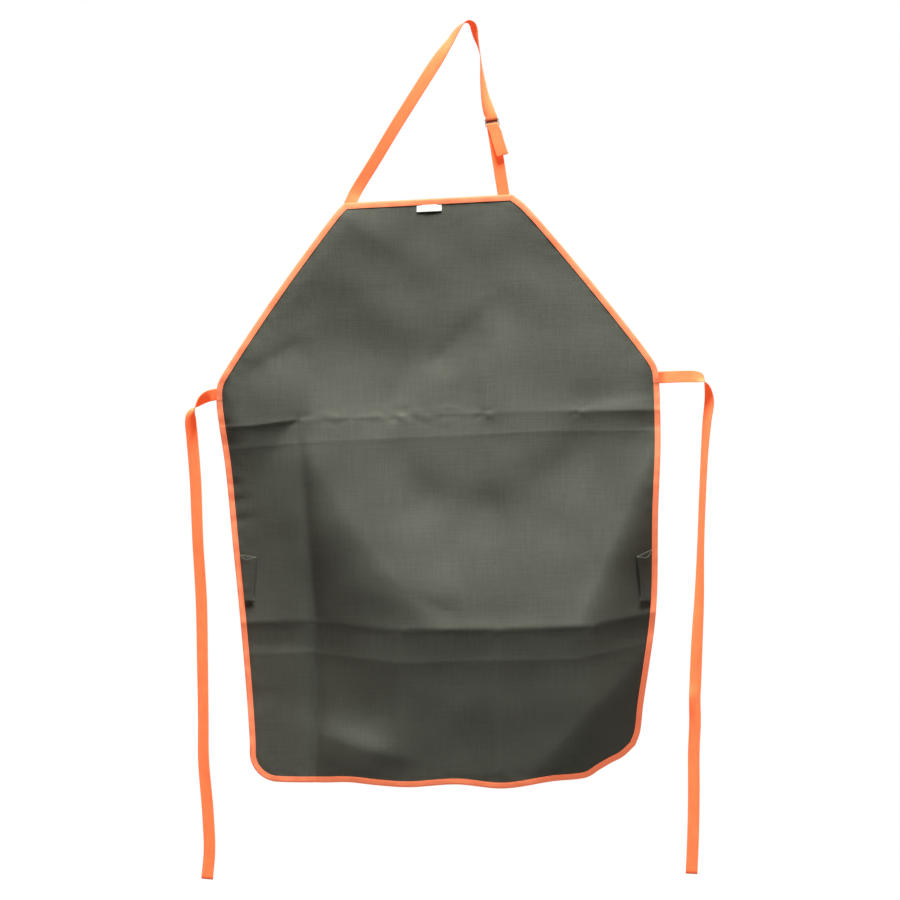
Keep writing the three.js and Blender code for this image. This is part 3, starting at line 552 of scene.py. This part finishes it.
def cloth_depth(x, z):
    """Depth of the middle of the cloth."""
    x, z = np.asarray(x, float), np.asarray(z, float)
    total = panel_depth(x, z) + WAVE * rumple(x, z, WAVE_SIZE) + crumpled(x, z)
    total = total - sum(fold_lift(fold, x, z) for fold in FOLDS + UPRIGHT_FOLDS + knot_folds())
    total = total - sum(crease_lift(crease, x, z) for crease in CREASES)
    return total + PUCKER * rumple(x, z, PUCKER_SIZE) * np.exp(-edge_distance(x, z) / PUCKER_FADE)


def with_depth(flat, rise=0.0):
    """Places on the cloth, moved away from the viewer by rise."""
    depth = cloth_depth(flat[..., 0], flat[..., 1]) + rise
    return np.stack([flat[..., 0], depth, flat[..., 1]], axis=-1)


# The apron's cloth

def cloth_grid():
    """Places across the cloth, blended from its four edges, hem first."""
    edge = inset(CLOTH_EDGE)
    top = edge[:COLUMNS + 1]
    right = edge[COLUMNS:COLUMNS + ROWS + 1]
    hem = edge[COLUMNS + ROWS:2 * COLUMNS + ROWS + 1][::-1]
    left = np.vstack([edge[2 * COLUMNS + ROWS:], edge[:1]])[::-1]
    u = np.linspace(0, 1, COLUMNS + 1)[None, :, None]
    v = np.linspace(0, 1, ROWS + 1)[:, None, None]
    grid = (1 - v) * top[None] + v * hem[None] + (1 - u) * left[:, None] + u * right[:, None]
    grid = grid - (1 - u) * (1 - v) * top[0] - u * (1 - v) * top[-1] - u * v * hem[-1] - (1 - u) * v * hem[0]
    return grid[::-1]


def pressed_lines(x, z):
    """How near each place lies to a pressed crease, from 0 to 1."""
    near = np.zeros(np.shape(x))
    for crease in CREASES:
        off = z - along_crease(crease, x)[0]
        near = np.maximum(near, np.exp(-(off / CREASE_RUB) ** 2))
    for fold in UPRIGHT_FOLDS:
        off, over, _ = off_line(fold, x, z)
        near = np.maximum(near, UPRIGHT_SHARE * np.exp(-(off / UPRIGHT_RUB) ** 2 - (over / FOLD_FADE) ** 2))
    return near


def make_body(front, back):
    flat = cloth_grid()
    body, row, column = laid_sheet("apron_cloth", with_depth(flat), flat)
    x, z = flat[row, column, 0], flat[row, column, 1]
    paint(body, "pressed", pressed_lines(x, z))
    # Dust and painted shade in the seam: the cloth is darkened just inside the binding
    paint(body, "seam", np.exp(-np.maximum(edge_distance(x, z) - BINDING_COVER, 0) / SEAM_DUST_AND_SHADE))
    thicken(body, CLOTH)
    settle(body, "coated_cloth", front, back, nodes=["apron_body"])
    facing = np.zeros(len(body.data.polygons) * 3)
    body.data.polygons.foreach_get("normal", facing)
    body.data.polygons.foreach_set("material_index", (facing[1::3] > 0).astype(int))
    return body


# Binding

def cut_ends(run):
    """How near each place along a tape lies to its cut ends, from 0 to 1."""
    return np.exp(-np.minimum(run, run[-1] - run) / CUT_END)


def make_binding(name, first, last, node, tape):
    """Tape folded over the bound edge between two points of the outline."""
    stations = np.arange(first, last + 1) % len(outline)
    flat = np.stack([inset(lap.reach)[stations] for lap in BINDING_SECTION], axis=1)
    rise = np.array([lap.rise for lap in BINDING_SECTION])[None, :]
    places = with_depth(flat, rise)
    run = run_along(outline[stations])
    across = run_along(BINDING_SECTION)
    piece, row, _ = laid_sheet(name, places, spread_out(across[None, :], run[:, None]))
    paint(piece, "cut_end", cut_ends(run)[row])
    thicken(piece, BINDING_WALL)
    return settle(piece, "orange_tape", tape, nodes=[node])


# Webbing

def sewn_depth(x, z):
    return float(cloth_depth(x, z)) + CLOTH / 2 + GAP + BINDING_WALL + FOLD_GAP + TAPE / 2


def sewn_twist(row, heading):
    """Twist that lays sewn webbing along the slope of the cloth."""
    half = unit(np.cross(heading, AWAY)) * TAPE_WIDTH / 2
    rise = cloth_depth(row.x + half[0], row.z + half[2]) - cloth_depth(row.x - half[0], row.z - half[2])
    return math.atan2(rise, TAPE_WIDTH)


def hanging_run(rows, back=0.0):
    """Centres of hanging webbing and the direction of its width at each, with depths from back."""
    places = [(row.x, sewn_depth(row.x, row.z) if row.y is None else back + row.y, row.z) for row in rows]
    headings = np.gradient(np.array(places), axis=0)
    twists = [sewn_twist(row, heading) if row.twist is None else math.radians(row.twist)
              for row, heading in zip(rows, headings)]
    run = smooth_curve(np.column_stack([places, twists]), STRAP_STEPS)
    centres, twist = run[:, :3], run[:, 3:]
    along = unit(np.gradient(centres, axis=0))
    level = unit(np.cross(along, AWAY))
    return centres, level * np.cos(twist) + np.cross(level, along) * np.sin(twist)


slider_across = np.array((math.cos(SLIDER_LEAN), 0, math.sin(SLIDER_LEAN)))
slider_down = np.array((math.sin(SLIDER_LEAN), 0, -math.cos(SLIDER_LEAN)))
SLOT = (SLIDER_HEIGHT - 2 * SLIDER_BAR - SLIDER_MIDDLE_BAR) / 2
SLOT_CENTRE = (SLIDER_MIDDLE_BAR + SLOT) / 2
HALF_HEIGHT = SLIDER_HEIGHT / 2
LOWER_BAR_TOP = HALF_HEIGHT - SLIDER_BAR
WRAP = SLIDER_WALL / 2 + GAP + TAPE / 2


def slider_places(path):
    """Places of a path drawn down the slider's length and across its depth."""
    path = np.asarray(path, float)
    return SLIDER_CENTRE + path[:, :1] * slider_down + path[:, 1:] * AWAY


def slider_run(path):
    centres = slider_places(path)
    return centres, np.broadcast_to(slider_across, centres.shape)


def threaded_path():
    """Over the top bar, behind the middle bar and out again in front of the lower loop."""
    leave = SLIDER_MIDDLE_BAR / 2 + GAP + TAPE / 2
    front = WRAP + TAPE + GAP
    turn = BEND_RADIUS
    return np.vstack([
        [(-HALF_HEIGHT - SLIDER_LEAD_IN, -WRAP)],
        arc((-SLOT_CENTRE - turn, turn - WRAP), turn, -90, 0, BEND_STEPS),
        arc((turn - SLOT_CENTRE, WRAP - turn), turn, 180, 90, BEND_STEPS),
        arc((leave - turn, WRAP - turn), turn, 90, 0, BEND_STEPS),
        arc((leave + turn, turn - front), turn, 180, 270, BEND_STEPS),
        [(HALF_HEIGHT, -front)],
    ])


def looped_path():
    """Up behind the lower bar, round it and down in front to the bib's corner."""
    radius = GAP + TAPE / 2
    ends = []
    for reach in (SHORT_REACH, SHORT_END):
        place = slider_places([(reach, 0)])[0]
        ends.append((reach, sewn_depth(place[0], place[2])))
    rows = [(HALF_HEIGHT + SLIDER_LEAD_IN, -WRAP), (SHORT_LEVEL, -SHORT_LEGS), *ends]
    return np.vstack([
        [(SHORT_FOLD_BACK, SHORT_LEGS), (HALF_HEIGHT + SLIDER_LEAD_IN, WRAP)],
        arc((LOWER_BAR_TOP, SLIDER_WALL / 2), radius, 90, 180, BEND_STEPS),
        arc((LOWER_BAR_TOP, -SLIDER_WALL / 2), radius, 180, 270, BEND_STEPS),
        smooth_curve(rows, LEG_STEPS),
    ])


def slot_shade_share(centres):
    """Where webbing lies down in the slider's slots, from 0 to 1, for the painted shade there."""
    off = centres - SLIDER_CENTRE
    near = np.linalg.norm(off, axis=1) < LOWER_BAR_TOP
    return near * np.clip((off @ AWAY - SLOT_SHADE_FRONT) / SLOT_SHADE_FADE, 0, 1)


def make_webbing(name, node, webbing, *runs):
    """Flat webbing laid through one or more runs."""
    centres = np.vstack([run[0] for run in runs])
    across = np.vstack([run[1] for run in runs])
    offsets = np.linspace(-0.5, 0.5, STRAP_ACROSS + 1) * TAPE_WIDTH
    places = centres[:, None] + across[:, None] * offsets[None, :, None]
    run = run_along(centres)
    spread = spread_out(offsets[None, :] + TAPE_WIDTH / 2, run[:, None])
    piece, row, _ = laid_sheet(name, places, spread)
    paint(piece, "cut_end", cut_ends(run)[row])
    # Painted shade: the webbing is darkened round the hook, where its top faces the overhead light
    from_hook = np.linalg.norm(centres, axis=1)
    paint(piece, "hook_shade", np.exp(-(from_hook / HOOK_SHADE_REACH) ** 2)[row])
    # Painted shade on the webbing down in the slider's slots
    paint(piece, "slot_shade", slot_shade_share(centres)[row])
    thicken(piece, TAPE, TAPE_ROUNDING)
    settle(piece, "orange_webbing", webbing, nodes=[node])
    return piece


# Slider

def edit_chosen(piece, mode, parts, chosen):
    """Opens a piece for editing, with those of its faces or points selected that a test chooses."""
    bpy.ops.object.mode_set(mode="EDIT")
    bpy.ops.mesh.select_mode(type=mode)
    bpy.ops.mesh.select_all(action="DESELECT")
    bpy.ops.object.mode_set(mode="OBJECT")
    for part in getattr(piece.data, parts):
        part.select = chosen(part)
    bpy.ops.object.mode_set(mode="EDIT")


def in_slot(face):
    centre = face.center / MM
    return abs(centre.x) < NEAR and abs(abs(centre.z) - SLOT_CENTRE) < NEAR


def at_corner(point):
    place = point.co / MM
    return abs(place.x) > SLIDER_WIDTH / 2 - NEAR and abs(place.z) > HALF_HEIGHT - NEAR


def make_slider(nickel):
    """Three bars in one frame: a plate with two slots, its corners and edges rounded."""
    slot_half = SLIDER_SLOT_WIDTH / 2
    columns = [-SLIDER_WIDTH / 2, -slot_half, slot_half, SLIDER_WIDTH / 2]
    bar = SLIDER_MIDDLE_BAR / 2
    rows = [-HALF_HEIGHT, -LOWER_BAR_TOP, -bar, bar, LOWER_BAR_TOP, HALF_HEIGHT]
    x, z = np.meshgrid(columns, rows)
    places = np.stack([x, np.zeros_like(x), z], axis=-1)
    piece, _, _ = laid_sheet("strap_slider_bars", places, spread_out(x, z))
    edit_chosen(piece, "FACE", "polygons", in_slot)
    bpy.ops.mesh.delete(type="FACE")
    edit_chosen(piece, "VERT", "vertices", at_corner)
    bpy.ops.mesh.bevel(offset=SLIDER_ROUNDING * MM, segments=4, affect="VERTICES")
    bpy.ops.object.mode_set(mode="OBJECT")
    apply_modifier(piece, "SOLIDIFY", thickness=SLIDER_WALL * MM, offset=0)
    apply_modifier(piece, "BEVEL", width=SLIDER_EDGE_ROUNDING * MM, segments=3, limit_method="ANGLE",
                   angle_limit=math.radians(40))
    piece.location = SLIDER_CENTRE * MM
    piece.rotation_euler = (0, -SLIDER_LEAN, 0)
    deselect()
    piece.select_set(True)
    bpy.ops.object.transform_apply(location=True, rotation=True, scale=True)
    return settle(piece, "nickel", nickel, nodes=["strap_slider"])


# Side loops and label

def cover_at(side, z):
    """Inner edge of the binding on a side at a height."""
    cover = inset(BINDING_COVER)
    start = 2 * COLUMNS + ROWS if side == "left" else COLUMNS
    falling = cover[start:start + ROWS]
    falling = falling[::-1] if side == "left" else falling
    return np.interp(-np.asarray(z), -falling[:, 1], falling[:, 0])


def make_side_loop(loop, cloth):
    """A strip of the body cloth folded into a loop, with both ends sewn in at the binding."""
    section = smooth_curve(LOOP_SECTION, LOOP_STEPS)
    reach, rise, front = section.T
    share = np.linspace(0, 1, LOOP_ROWS + 1)[:, None]
    end = loop.back + (loop.front - loop.back) * np.clip(front, 0, 1)
    top = end + (loop.fold - end) * np.clip(reach, 0, 1)
    z = top[None, :] + (loop.bottom - top[None, :]) * share
    depth = loop.top + (loop.low - loop.top) * share
    x = cover_at(loop.side, z) + loop.inwards * (GAP + CLOTH / 2 + reach[None, :] * depth)
    stand = np.clip(rise, 0, LOOP_LAYER) + np.maximum(rise - LOOP_LAYER, 0) * (1 - share)
    y = cloth_depth(x, z) - LOOP_SEAT - stand
    run = run_along(np.column_stack([reach * loop.top, rise]))
    places = np.stack([x, y, z], axis=-1)
    piece, _, _ = laid_sheet(loop.name + "_cloth", places, spread_out(run[None, :], z))
    thicken(piece, CLOTH, LOOP_ROUNDING)
    settle(piece, "coated_cloth", cloth, nodes=[loop.name])
    return piece


def make_label(woven):
    """A small bare label that hangs from under the top binding."""
    cover = inset(BINDING_COVER)
    edge_z = np.interp(LABEL_X, cover[:COLUMNS + 1, 0], cover[:COLUMNS + 1, 1])
    across = np.linspace(-0.5, 0.5, LABEL_COLUMNS + 1)[None, :] * LABEL_WIDTH
    down = np.linspace(0, 1, LABEL_ROWS + 1)[:, None] * LABEL_HEIGHT
    x, down = np.broadcast_arrays(LABEL_X + across, down)
    z = edge_z - LABEL_DROP - down + LABEL_TILT * across
    level = cloth_depth(LABEL_X, edge_z - LABEL_DROP - LABEL_HEIGHT / 2)
    lift = CLOTH / 2 + GAP + LABEL_WALL / 2 + LABEL_LIFT * (down / LABEL_HEIGHT) ** 2
    y = level - lift - LABEL_WAVE * np.cos(across / LABEL_WIDTH * 2 * math.pi)
    places = np.stack([x, y, z], axis=-1)
    piece, _, _ = laid_sheet("woven_label", places[::-1], spread_out(across, down)[::-1])
    thicken(piece, LABEL_WALL, LABEL_ROUNDING)
    settle(piece, "white_woven", woven, nodes=["label"])
    return piece


# Stitching

def thread_seats(line, facing):
    """Evenly spaced places for stitches along a line, each with its heading and the way that it faces."""
    at = np.arange(STITCH_PITCH / 2, run_along(line)[-1], STITCH_PITCH)
    centres = points_at(line, at)
    headings = unit(points_at(line, at + STITCH_AHEAD) - centres + 1e-9)
    return centres, headings, np.broadcast_to(facing, centres.shape)


def make_stitches(name, seats, thread):
    """One stitch modelled as a short thread, and a copy of it laid at every seat."""
    deselect()
    bpy.ops.mesh.primitive_uv_sphere_add(segments=6, ring_count=4, radius=0.5)
    piece = bpy.context.object
    piece.name = name
    stitch = np.array([vertex.co for vertex in piece.data.vertices])
    faces = [tuple(face.vertices) for face in piece.data.polygons]
    places, shapes = [], []
    for centres, headings, facing in seats:
        side = unit(np.cross(facing, headings))
        for i in range(len(centres)):
            shift = len(places) * len(stitch)
            bow = STITCH_BOW * (1 - (2 * stitch[:, 2:]) ** 2)
            places.append(centres[i] + stitch[:, 2:] * STITCH_LENGTH * headings[i]
                          + stitch[:, :1] * THREAD * side[i] + (stitch[:, 1:2] * THREAD + bow) * facing[i])
            shapes.extend(tuple(corner + shift for corner in face) for face in faces)
    mesh = bpy.data.meshes.new(name)
    mesh.from_pydata(np.vstack(places) * MM, [], shapes)
    piece.data = mesh
    settle(piece, "orange_tape", thread)
    return piece


def binding_seats(side):
    """Stitch row along the binding on the front, side -1, or the back, side 1."""
    seam = inset(BINDING_COVER - SEAM_INSET)
    line = with_depth(np.vstack([seam, seam[:1]]), side * STITCH_RISE)
    return thread_seats(line, AWAY * side)


# Materials

def linear(code):
    """An sRGB hex colour as linear red, green, blue and alpha."""
    parts = [int(code[i:i + 2], 16) / 255 for i in (1, 3, 5)]
    return tuple(c / 12.92 if c <= 0.04045 else ((c + 0.055) / 1.055) ** 2.4 for c in parts) + (1.0,)


def connect(tree, node, inputs):
    """Fills a node's inputs, each with a value or with another node's output."""
    for name, value in inputs.items():
        if isinstance(value, bpy.types.NodeSocket):
            tree.links.new(value, node.inputs[name])
        else:
            node.inputs[name].default_value = value


def add(tree, kind, inputs=None, result=0, **settings):
    """Adds a node with its settings and inputs, and gives one of its outputs."""
    node = tree.nodes.new(kind)
    for name, value in settings.items():
        setattr(node, name, value)
    connect(tree, node, inputs or {})
    return node.outputs[result]


def new_material(name):
    material = bpy.data.materials.new(name)
    material.use_nodes = True
    material.cycles.emission_sampling = "NONE"
    tree = material.node_tree
    return material, tree, tree.nodes["Principled BSDF"]


def turns(tree, place, part, pitch):
    """Angle that goes once round for each pitch in millimetres along X or Y."""
    distance = add(tree, "ShaderNodeSeparateXYZ", {0: place}, result=part)
    return add(tree, "ShaderNodeMath", {0: distance, 1: 2 * math.pi / (pitch * MM)}, operation="MULTIPLY")


def waves(tree, place, part, pitch):
    """Waves between -1 and 1 with their pitch in millimetres along X or Y."""
    return add(tree, "ShaderNodeMath", {0: turns(tree, place, part, pitch)}, operation="SINE")


def patches(tree, place, sizes, detail=2.0):
    """Soft unevenness in patches of a size each way in millimetres."""
    scale = [1 / (size * MM) for size in sizes]
    stretched = add(tree, "ShaderNodeMapping", {"Vector": place, "Scale": scale})
    return add(tree, "ShaderNodeTexNoise", {"Vector": stretched, "Scale": 1.0, "Detail": detail})


def marked(tree, mark, change):
    """Factor of 1 that is changed where a mark is painted on the piece."""
    full = add(tree, "ShaderNodeAttribute", result="Fac", attribute_name=mark)
    return add(tree, "ShaderNodeMath", {0: full, 1: change, 2: 1.0}, operation="MULTIPLY_ADD")


def multiplied(tree, *factors):
    value = factors[0]
    for factor in factors[1:]:
        value = add(tree, "ShaderNodeMath", {0: value, 1: factor}, operation="MULTIPLY")
    return value


def shaded(tree, colour, *factors):
    """An sRGB hex colour made paler or darker by factors."""
    value = multiplied(tree, *factors)
    return add(tree, "ShaderNodeVectorMath", {0: linear(colour)[:3], "Scale": value}, operation="SCALE")


def coated_cloth(name, colour, roughness, weave):
    """Polyester woven with plain threads and coated on the back: matt olive-grey with a faint sheen.
    Fine threads run both ways, some thicker than others, and pressed creases are rubbed paler."""
    material, tree, shader = new_material(name)
    place = add(tree, "ShaderNodeTexCoord", result="UV")
    # Threads are about 0.6 mm apart; they are drawn 1.3 mm apart so that they show
    threads = multiplied(tree, waves(tree, place, "X", 1.3), waves(tree, place, "Y", 1.3))
    # Thicker threads, about 2.4 mm wide and 60 mm long, along the weft and along the warp
    weft = patches(tree, place, (60, 2.4, 1))
    warp = patches(tree, place, (2.4, 60, 1))
    slub = add(tree, "ShaderNodeMath", {0: weft, 1: warp}, operation="ADD")
    cloud = patches(tree, place, (90, 90, 90), 3.0)
    tone = add(tree, "ShaderNodeMapRange", {0: slub, 1: 0.6, 2: 1.4, 3: 0.88, 4: 1.12})
    patch = add(tree, "ShaderNodeMapRange", {0: cloud, 1: 0.3, 2: 0.7, 3: 0.95, 4: 1.05})
    worn = marked(tree, "pressed", 0.1)
    # Dust and painted shade along the binding's inner edge
    seam_dust_and_shade = marked(tree, "seam", -0.12)
    smoothest, roughest = roughness - 0.05, roughness + 0.05
    gloss = add(tree, "ShaderNodeMapRange", {0: slub, 1: 0.6, 2: 1.4, 3: smoothest, 4: roughest})
    height = add(tree, "ShaderNodeMath", {0: threads, 1: weave, 2: slub}, operation="MULTIPLY_ADD")
    connect(tree, shader, {
        "Base Color": shaded(tree, colour, tone, patch, worn, seam_dust_and_shade),
        "Roughness": gloss,
        "Normal": add(tree, "ShaderNodeBump", {"Height": height, "Strength": 0.45, "Distance": 0.25 * MM}),
        "IOR": 1.5,
        "Specular IOR Level": 0.2,
        "Sheen Weight": 0.03,
        "Sheen Roughness": 0.5,
    })
    return material


def orange_weave(name, colour, glow, strength, rib):
    """Polyester tape dyed a fluorescent orange: close ribs across it, darker where an end is sealed, with
    painted shade round the hook and in the slider's slots, and a steady painted glow in place of the dye's
    fluorescence that keeps the shaded side a clear red-orange where another dye would go brown."""
    material, tree, shader = new_material(name)
    place = add(tree, "ShaderNodeTexCoord", result="UV")
    # Ribs that lean to and fro, drawn about twice as coarse as they are so that they show
    lean = waves(tree, place, "X", 1.6)
    slant = add(tree, "ShaderNodeMath", {0: lean, 1: 0.9, 2: turns(tree, place, "Y", rib)},
                operation="MULTIPLY_ADD")
    weft = add(tree, "ShaderNodeMath", {0: slant}, operation="SINE")
    height = add(tree, "ShaderNodeMath", {0: lean, 1: 0.5, 2: weft}, operation="MULTIPLY_ADD")
    streak = patches(tree, place, (3, 45, 1))
    cloud = patches(tree, place, (35, 35, 35))
    tone = add(tree, "ShaderNodeMapRange", {0: streak, 1: 0.3, 2: 0.7, 3: 0.92, 4: 1.06})
    patch = add(tree, "ShaderNodeMapRange", {0: cloud, 1: 0.3, 2: 0.7, 3: 0.93, 4: 1.05})
    grain = add(tree, "ShaderNodeMapRange", {0: weft, 1: -1.0, 2: 1.0, 3: 0.93, 4: 1.03})
    sealed = marked(tree, "cut_end", -0.45)
    # Painted shade round the hook, toning down the strap's top under the overhead light
    painted_hook_shade = marked(tree, "hook_shade", -0.45)
    # Painted shade in the slider's slots, which also dims the glow there
    painted_slot_shade = marked(tree, "slot_shade", -0.8)
    connect(tree, shader, {
        "Base Color": shaded(tree, colour, tone, patch, grain, sealed, painted_hook_shade, painted_slot_shade),
        "Normal": add(tree, "ShaderNodeBump", {"Height": height, "Strength": 0.3, "Distance": 0.2 * MM}),
        # A steady painted glow, standing in for fluorescence, lights the shaded side; the painted slot shade
        # dims it
        "Emission Strength": multiplied(tree, painted_slot_shade, sealed, strength),
        "Emission Color": linear(glow),
        "Roughness": 0.8,
        "Diffuse Roughness": 0.9,
        "Specular IOR Level": 0.1,
        "Sheen Weight": 0.05,
    })
    return material


def nickel_plate():
    """Nickel-plated steel, satin and pale with fine rubbing marks that scatter part of the light."""
    material, tree, shader = new_material("nickel_plate")
    place = add(tree, "ShaderNodeTexCoord", result="Object")
    marks = patches(tree, place, (4, 0.4, 0.4), 3.0)
    shade = add(tree, "ShaderNodeMapRange", {0: marks, 1: 0.3, 2: 0.7, 3: 0.85, 4: 1.0})
    connect(tree, shader, {
        "Base Color": shaded(tree, "#D9D2C8", shade),
        "Roughness": add(tree, "ShaderNodeMapRange", {0: marks, 1: 0.35, 2: 0.65, 3: 0.3, 4: 0.45}),
        "Metallic": 0.5,
    })
    return material


def woven_white():
    """White polyester satin label: smooth, with close ribs along it and a soft gloss."""
    material, tree, shader = new_material("white_woven_label")
    place = add(tree, "ShaderNodeTexCoord", result="UV")
    ribs = waves(tree, place, "Y", 0.8)
    cloud = patches(tree, place, (6, 6, 6))
    shade = add(tree, "ShaderNodeMapRange", {0: cloud, 1: 0.3, 2: 0.7, 3: 0.94, 4: 1.0})
    connect(tree, shader, {
        "Base Color": shaded(tree, "#F7F5F3", shade),
        "Normal": add(tree, "ShaderNodeBump", {"Height": ribs, "Strength": 0.3, "Distance": 0.1 * MM}),
        "Roughness": 0.55,
        "Sheen Weight": 0.1,
    })
    return material


def sewing_thread():
    """Twisted orange polyester thread, a little darker than the tape."""
    material, tree, shader = new_material("orange_thread")
    place = add(tree, "ShaderNodeTexCoord", result="Object")
    twist = patches(tree, place, (0.8, 0.8, 0.8))
    shade = add(tree, "ShaderNodeMapRange", {0: twist, 1: 0.3, 2: 0.7, 3: 0.8, 4: 1.05})
    connect(tree, shader, {
        "Base Color": shaded(tree, "#F08A50", shade),
        "Roughness": 0.6,
        # A steady painted glow, like the tape's in place of fluorescence, keeps the thread's shaded side
        # orange
        "Emission Color": linear("#FF5529"),
        "Emission Strength": 0.5,
    })
    return material


# Camera, light and stage

def make_camera():
    span = PHOTO_PIXELS * MM_PER_PIXEL * MM
    x, z = (part * MM for part in PHOTO_CENTRE)
    distance = span * LENS / SENSOR
    bpy.ops.object.camera_add(location=(x, -distance, z), rotation=(math.pi / 2, 0, 0))
    camera = bpy.context.object
    camera.data.lens = LENS
    camera.data.sensor_width = SENSOR
    camera.data.clip_end = 200
    bpy.context.scene.camera = camera


def add_softbox(name, place, width, depth, power):
    aim = Vector(LIGHT_AIM) - Vector(place)
    bpy.ops.object.light_add(type="AREA", location=place, rotation=aim.to_track_quat("-Z", "Y").to_euler())
    softbox = bpy.context.object
    softbox.name = name
    softbox.data.shape = "RECTANGLE"
    softbox.data.size = width
    softbox.data.size_y = depth
    softbox.data.energy = power
    softbox.visible_camera = False


def make_light():
    scene = bpy.context.scene
    scene.view_settings.view_transform = "Standard"
    scene.world = bpy.data.worlds.new("studio")
    scene.world.use_nodes = True
    tree = scene.world.node_tree
    # A faint warm fill from all round
    connect(tree, tree.nodes["Background"], {"Color": (1, 0.9, 0.8, 1), "Strength": 0.07})
    add_softbox("softbox", place=(0.1, -1.7, 5.6), width=2.3, depth=1.3, power=1600)
    # A weaker one behind, for the back of the cloth
    add_softbox("back_softbox", place=(0, 2.6, 0.4), width=2.0, depth=2.0, power=70)


def make_stage():
    """A pale floor disc under the apron that throws no light back up, and a white surround that only
    the camera sees."""
    deselect()
    under = (0, 0, cad_box[0].z - FLOOR_DROP)
    bpy.ops.mesh.primitive_circle_add(vertices=96, radius=FLOOR_RADIUS, fill_type="NGON", location=under)
    floor = bpy.context.object
    floor.name = "floor"
    material, tree, shader = new_material("pale_floor")
    connect(tree, shader, {"Base Color": linear("#E9E7E4"), "Roughness": 0.9})
    floor.data.materials.append(material)
    bpy.ops.mesh.primitive_uv_sphere_add(segments=48, ring_count=24, radius=SURROUND_RADIUS)
    surround = bpy.context.object
    surround.name = "surround"
    material, tree, shader = new_material("white_surround")
    white, black = linear("#FFFFFF"), linear("#000000")
    connect(tree, shader, {"Base Color": black, "Emission Color": white, "Emission Strength": 1.0})
    surround.data.materials.append(material)
    for ray in ("diffuse", "glossy", "transmission", "volume_scatter", "shadow"):
        setattr(surround, "visible_" + ray, False)
    floor.visible_diffuse = False


make_camera()
make_light()
make_stage()

cloth_front = coated_cloth("coated_polyester", "#5D5F55", roughness=0.6, weave=0.5)
cloth_back = coated_cloth("polyester_coating", "#56574D", roughness=0.45, weave=0.1)
tape = orange_weave("orange_binding_tape", "#F09C6E", glow="#FF825C", strength=0.6, rib=1.5)
webbing = orange_weave("orange_webbing", "#F0955F", glow="#FF5529", strength=0.7, rib=1.8)
thread = sewing_thread()

body = make_body(cloth_front, cloth_back)
join = sum(level.steps for level in LEVELS[:3]) * ROW_STEPS
bib_binding = make_binding("bib_binding_tape", -join, COLUMNS + join, "bib_binding", tape)
skirt_binding = make_binding("skirt_binding_tape", COLUMNS + join, len(outline) - join, "skirt_binding", tape)
make_webbing("neck_strap_webbing", "neck_strap", webbing,
             hanging_run(NECK_STRAP), slider_run(threaded_path()), hanging_run(TAIL))
make_webbing("short_strap_webbing", "short_strap", webbing, slider_run(looped_path()))
make_webbing("tie_left_webbing", "tie_left", webbing, hanging_run(TIE_LEFT, TIE_BACK))
make_webbing("tie_right_webbing", "tie_right", webbing, hanging_run(TIE_RIGHT, TIE_BACK))
make_slider(nickel_plate())
for loop in SIDE_LOOPS:
    make_side_loop(loop, cloth_front)
make_label(woven_white())
stitches = make_stitches("binding_stitches", [binding_seats(-1), binding_seats(1)], thread)
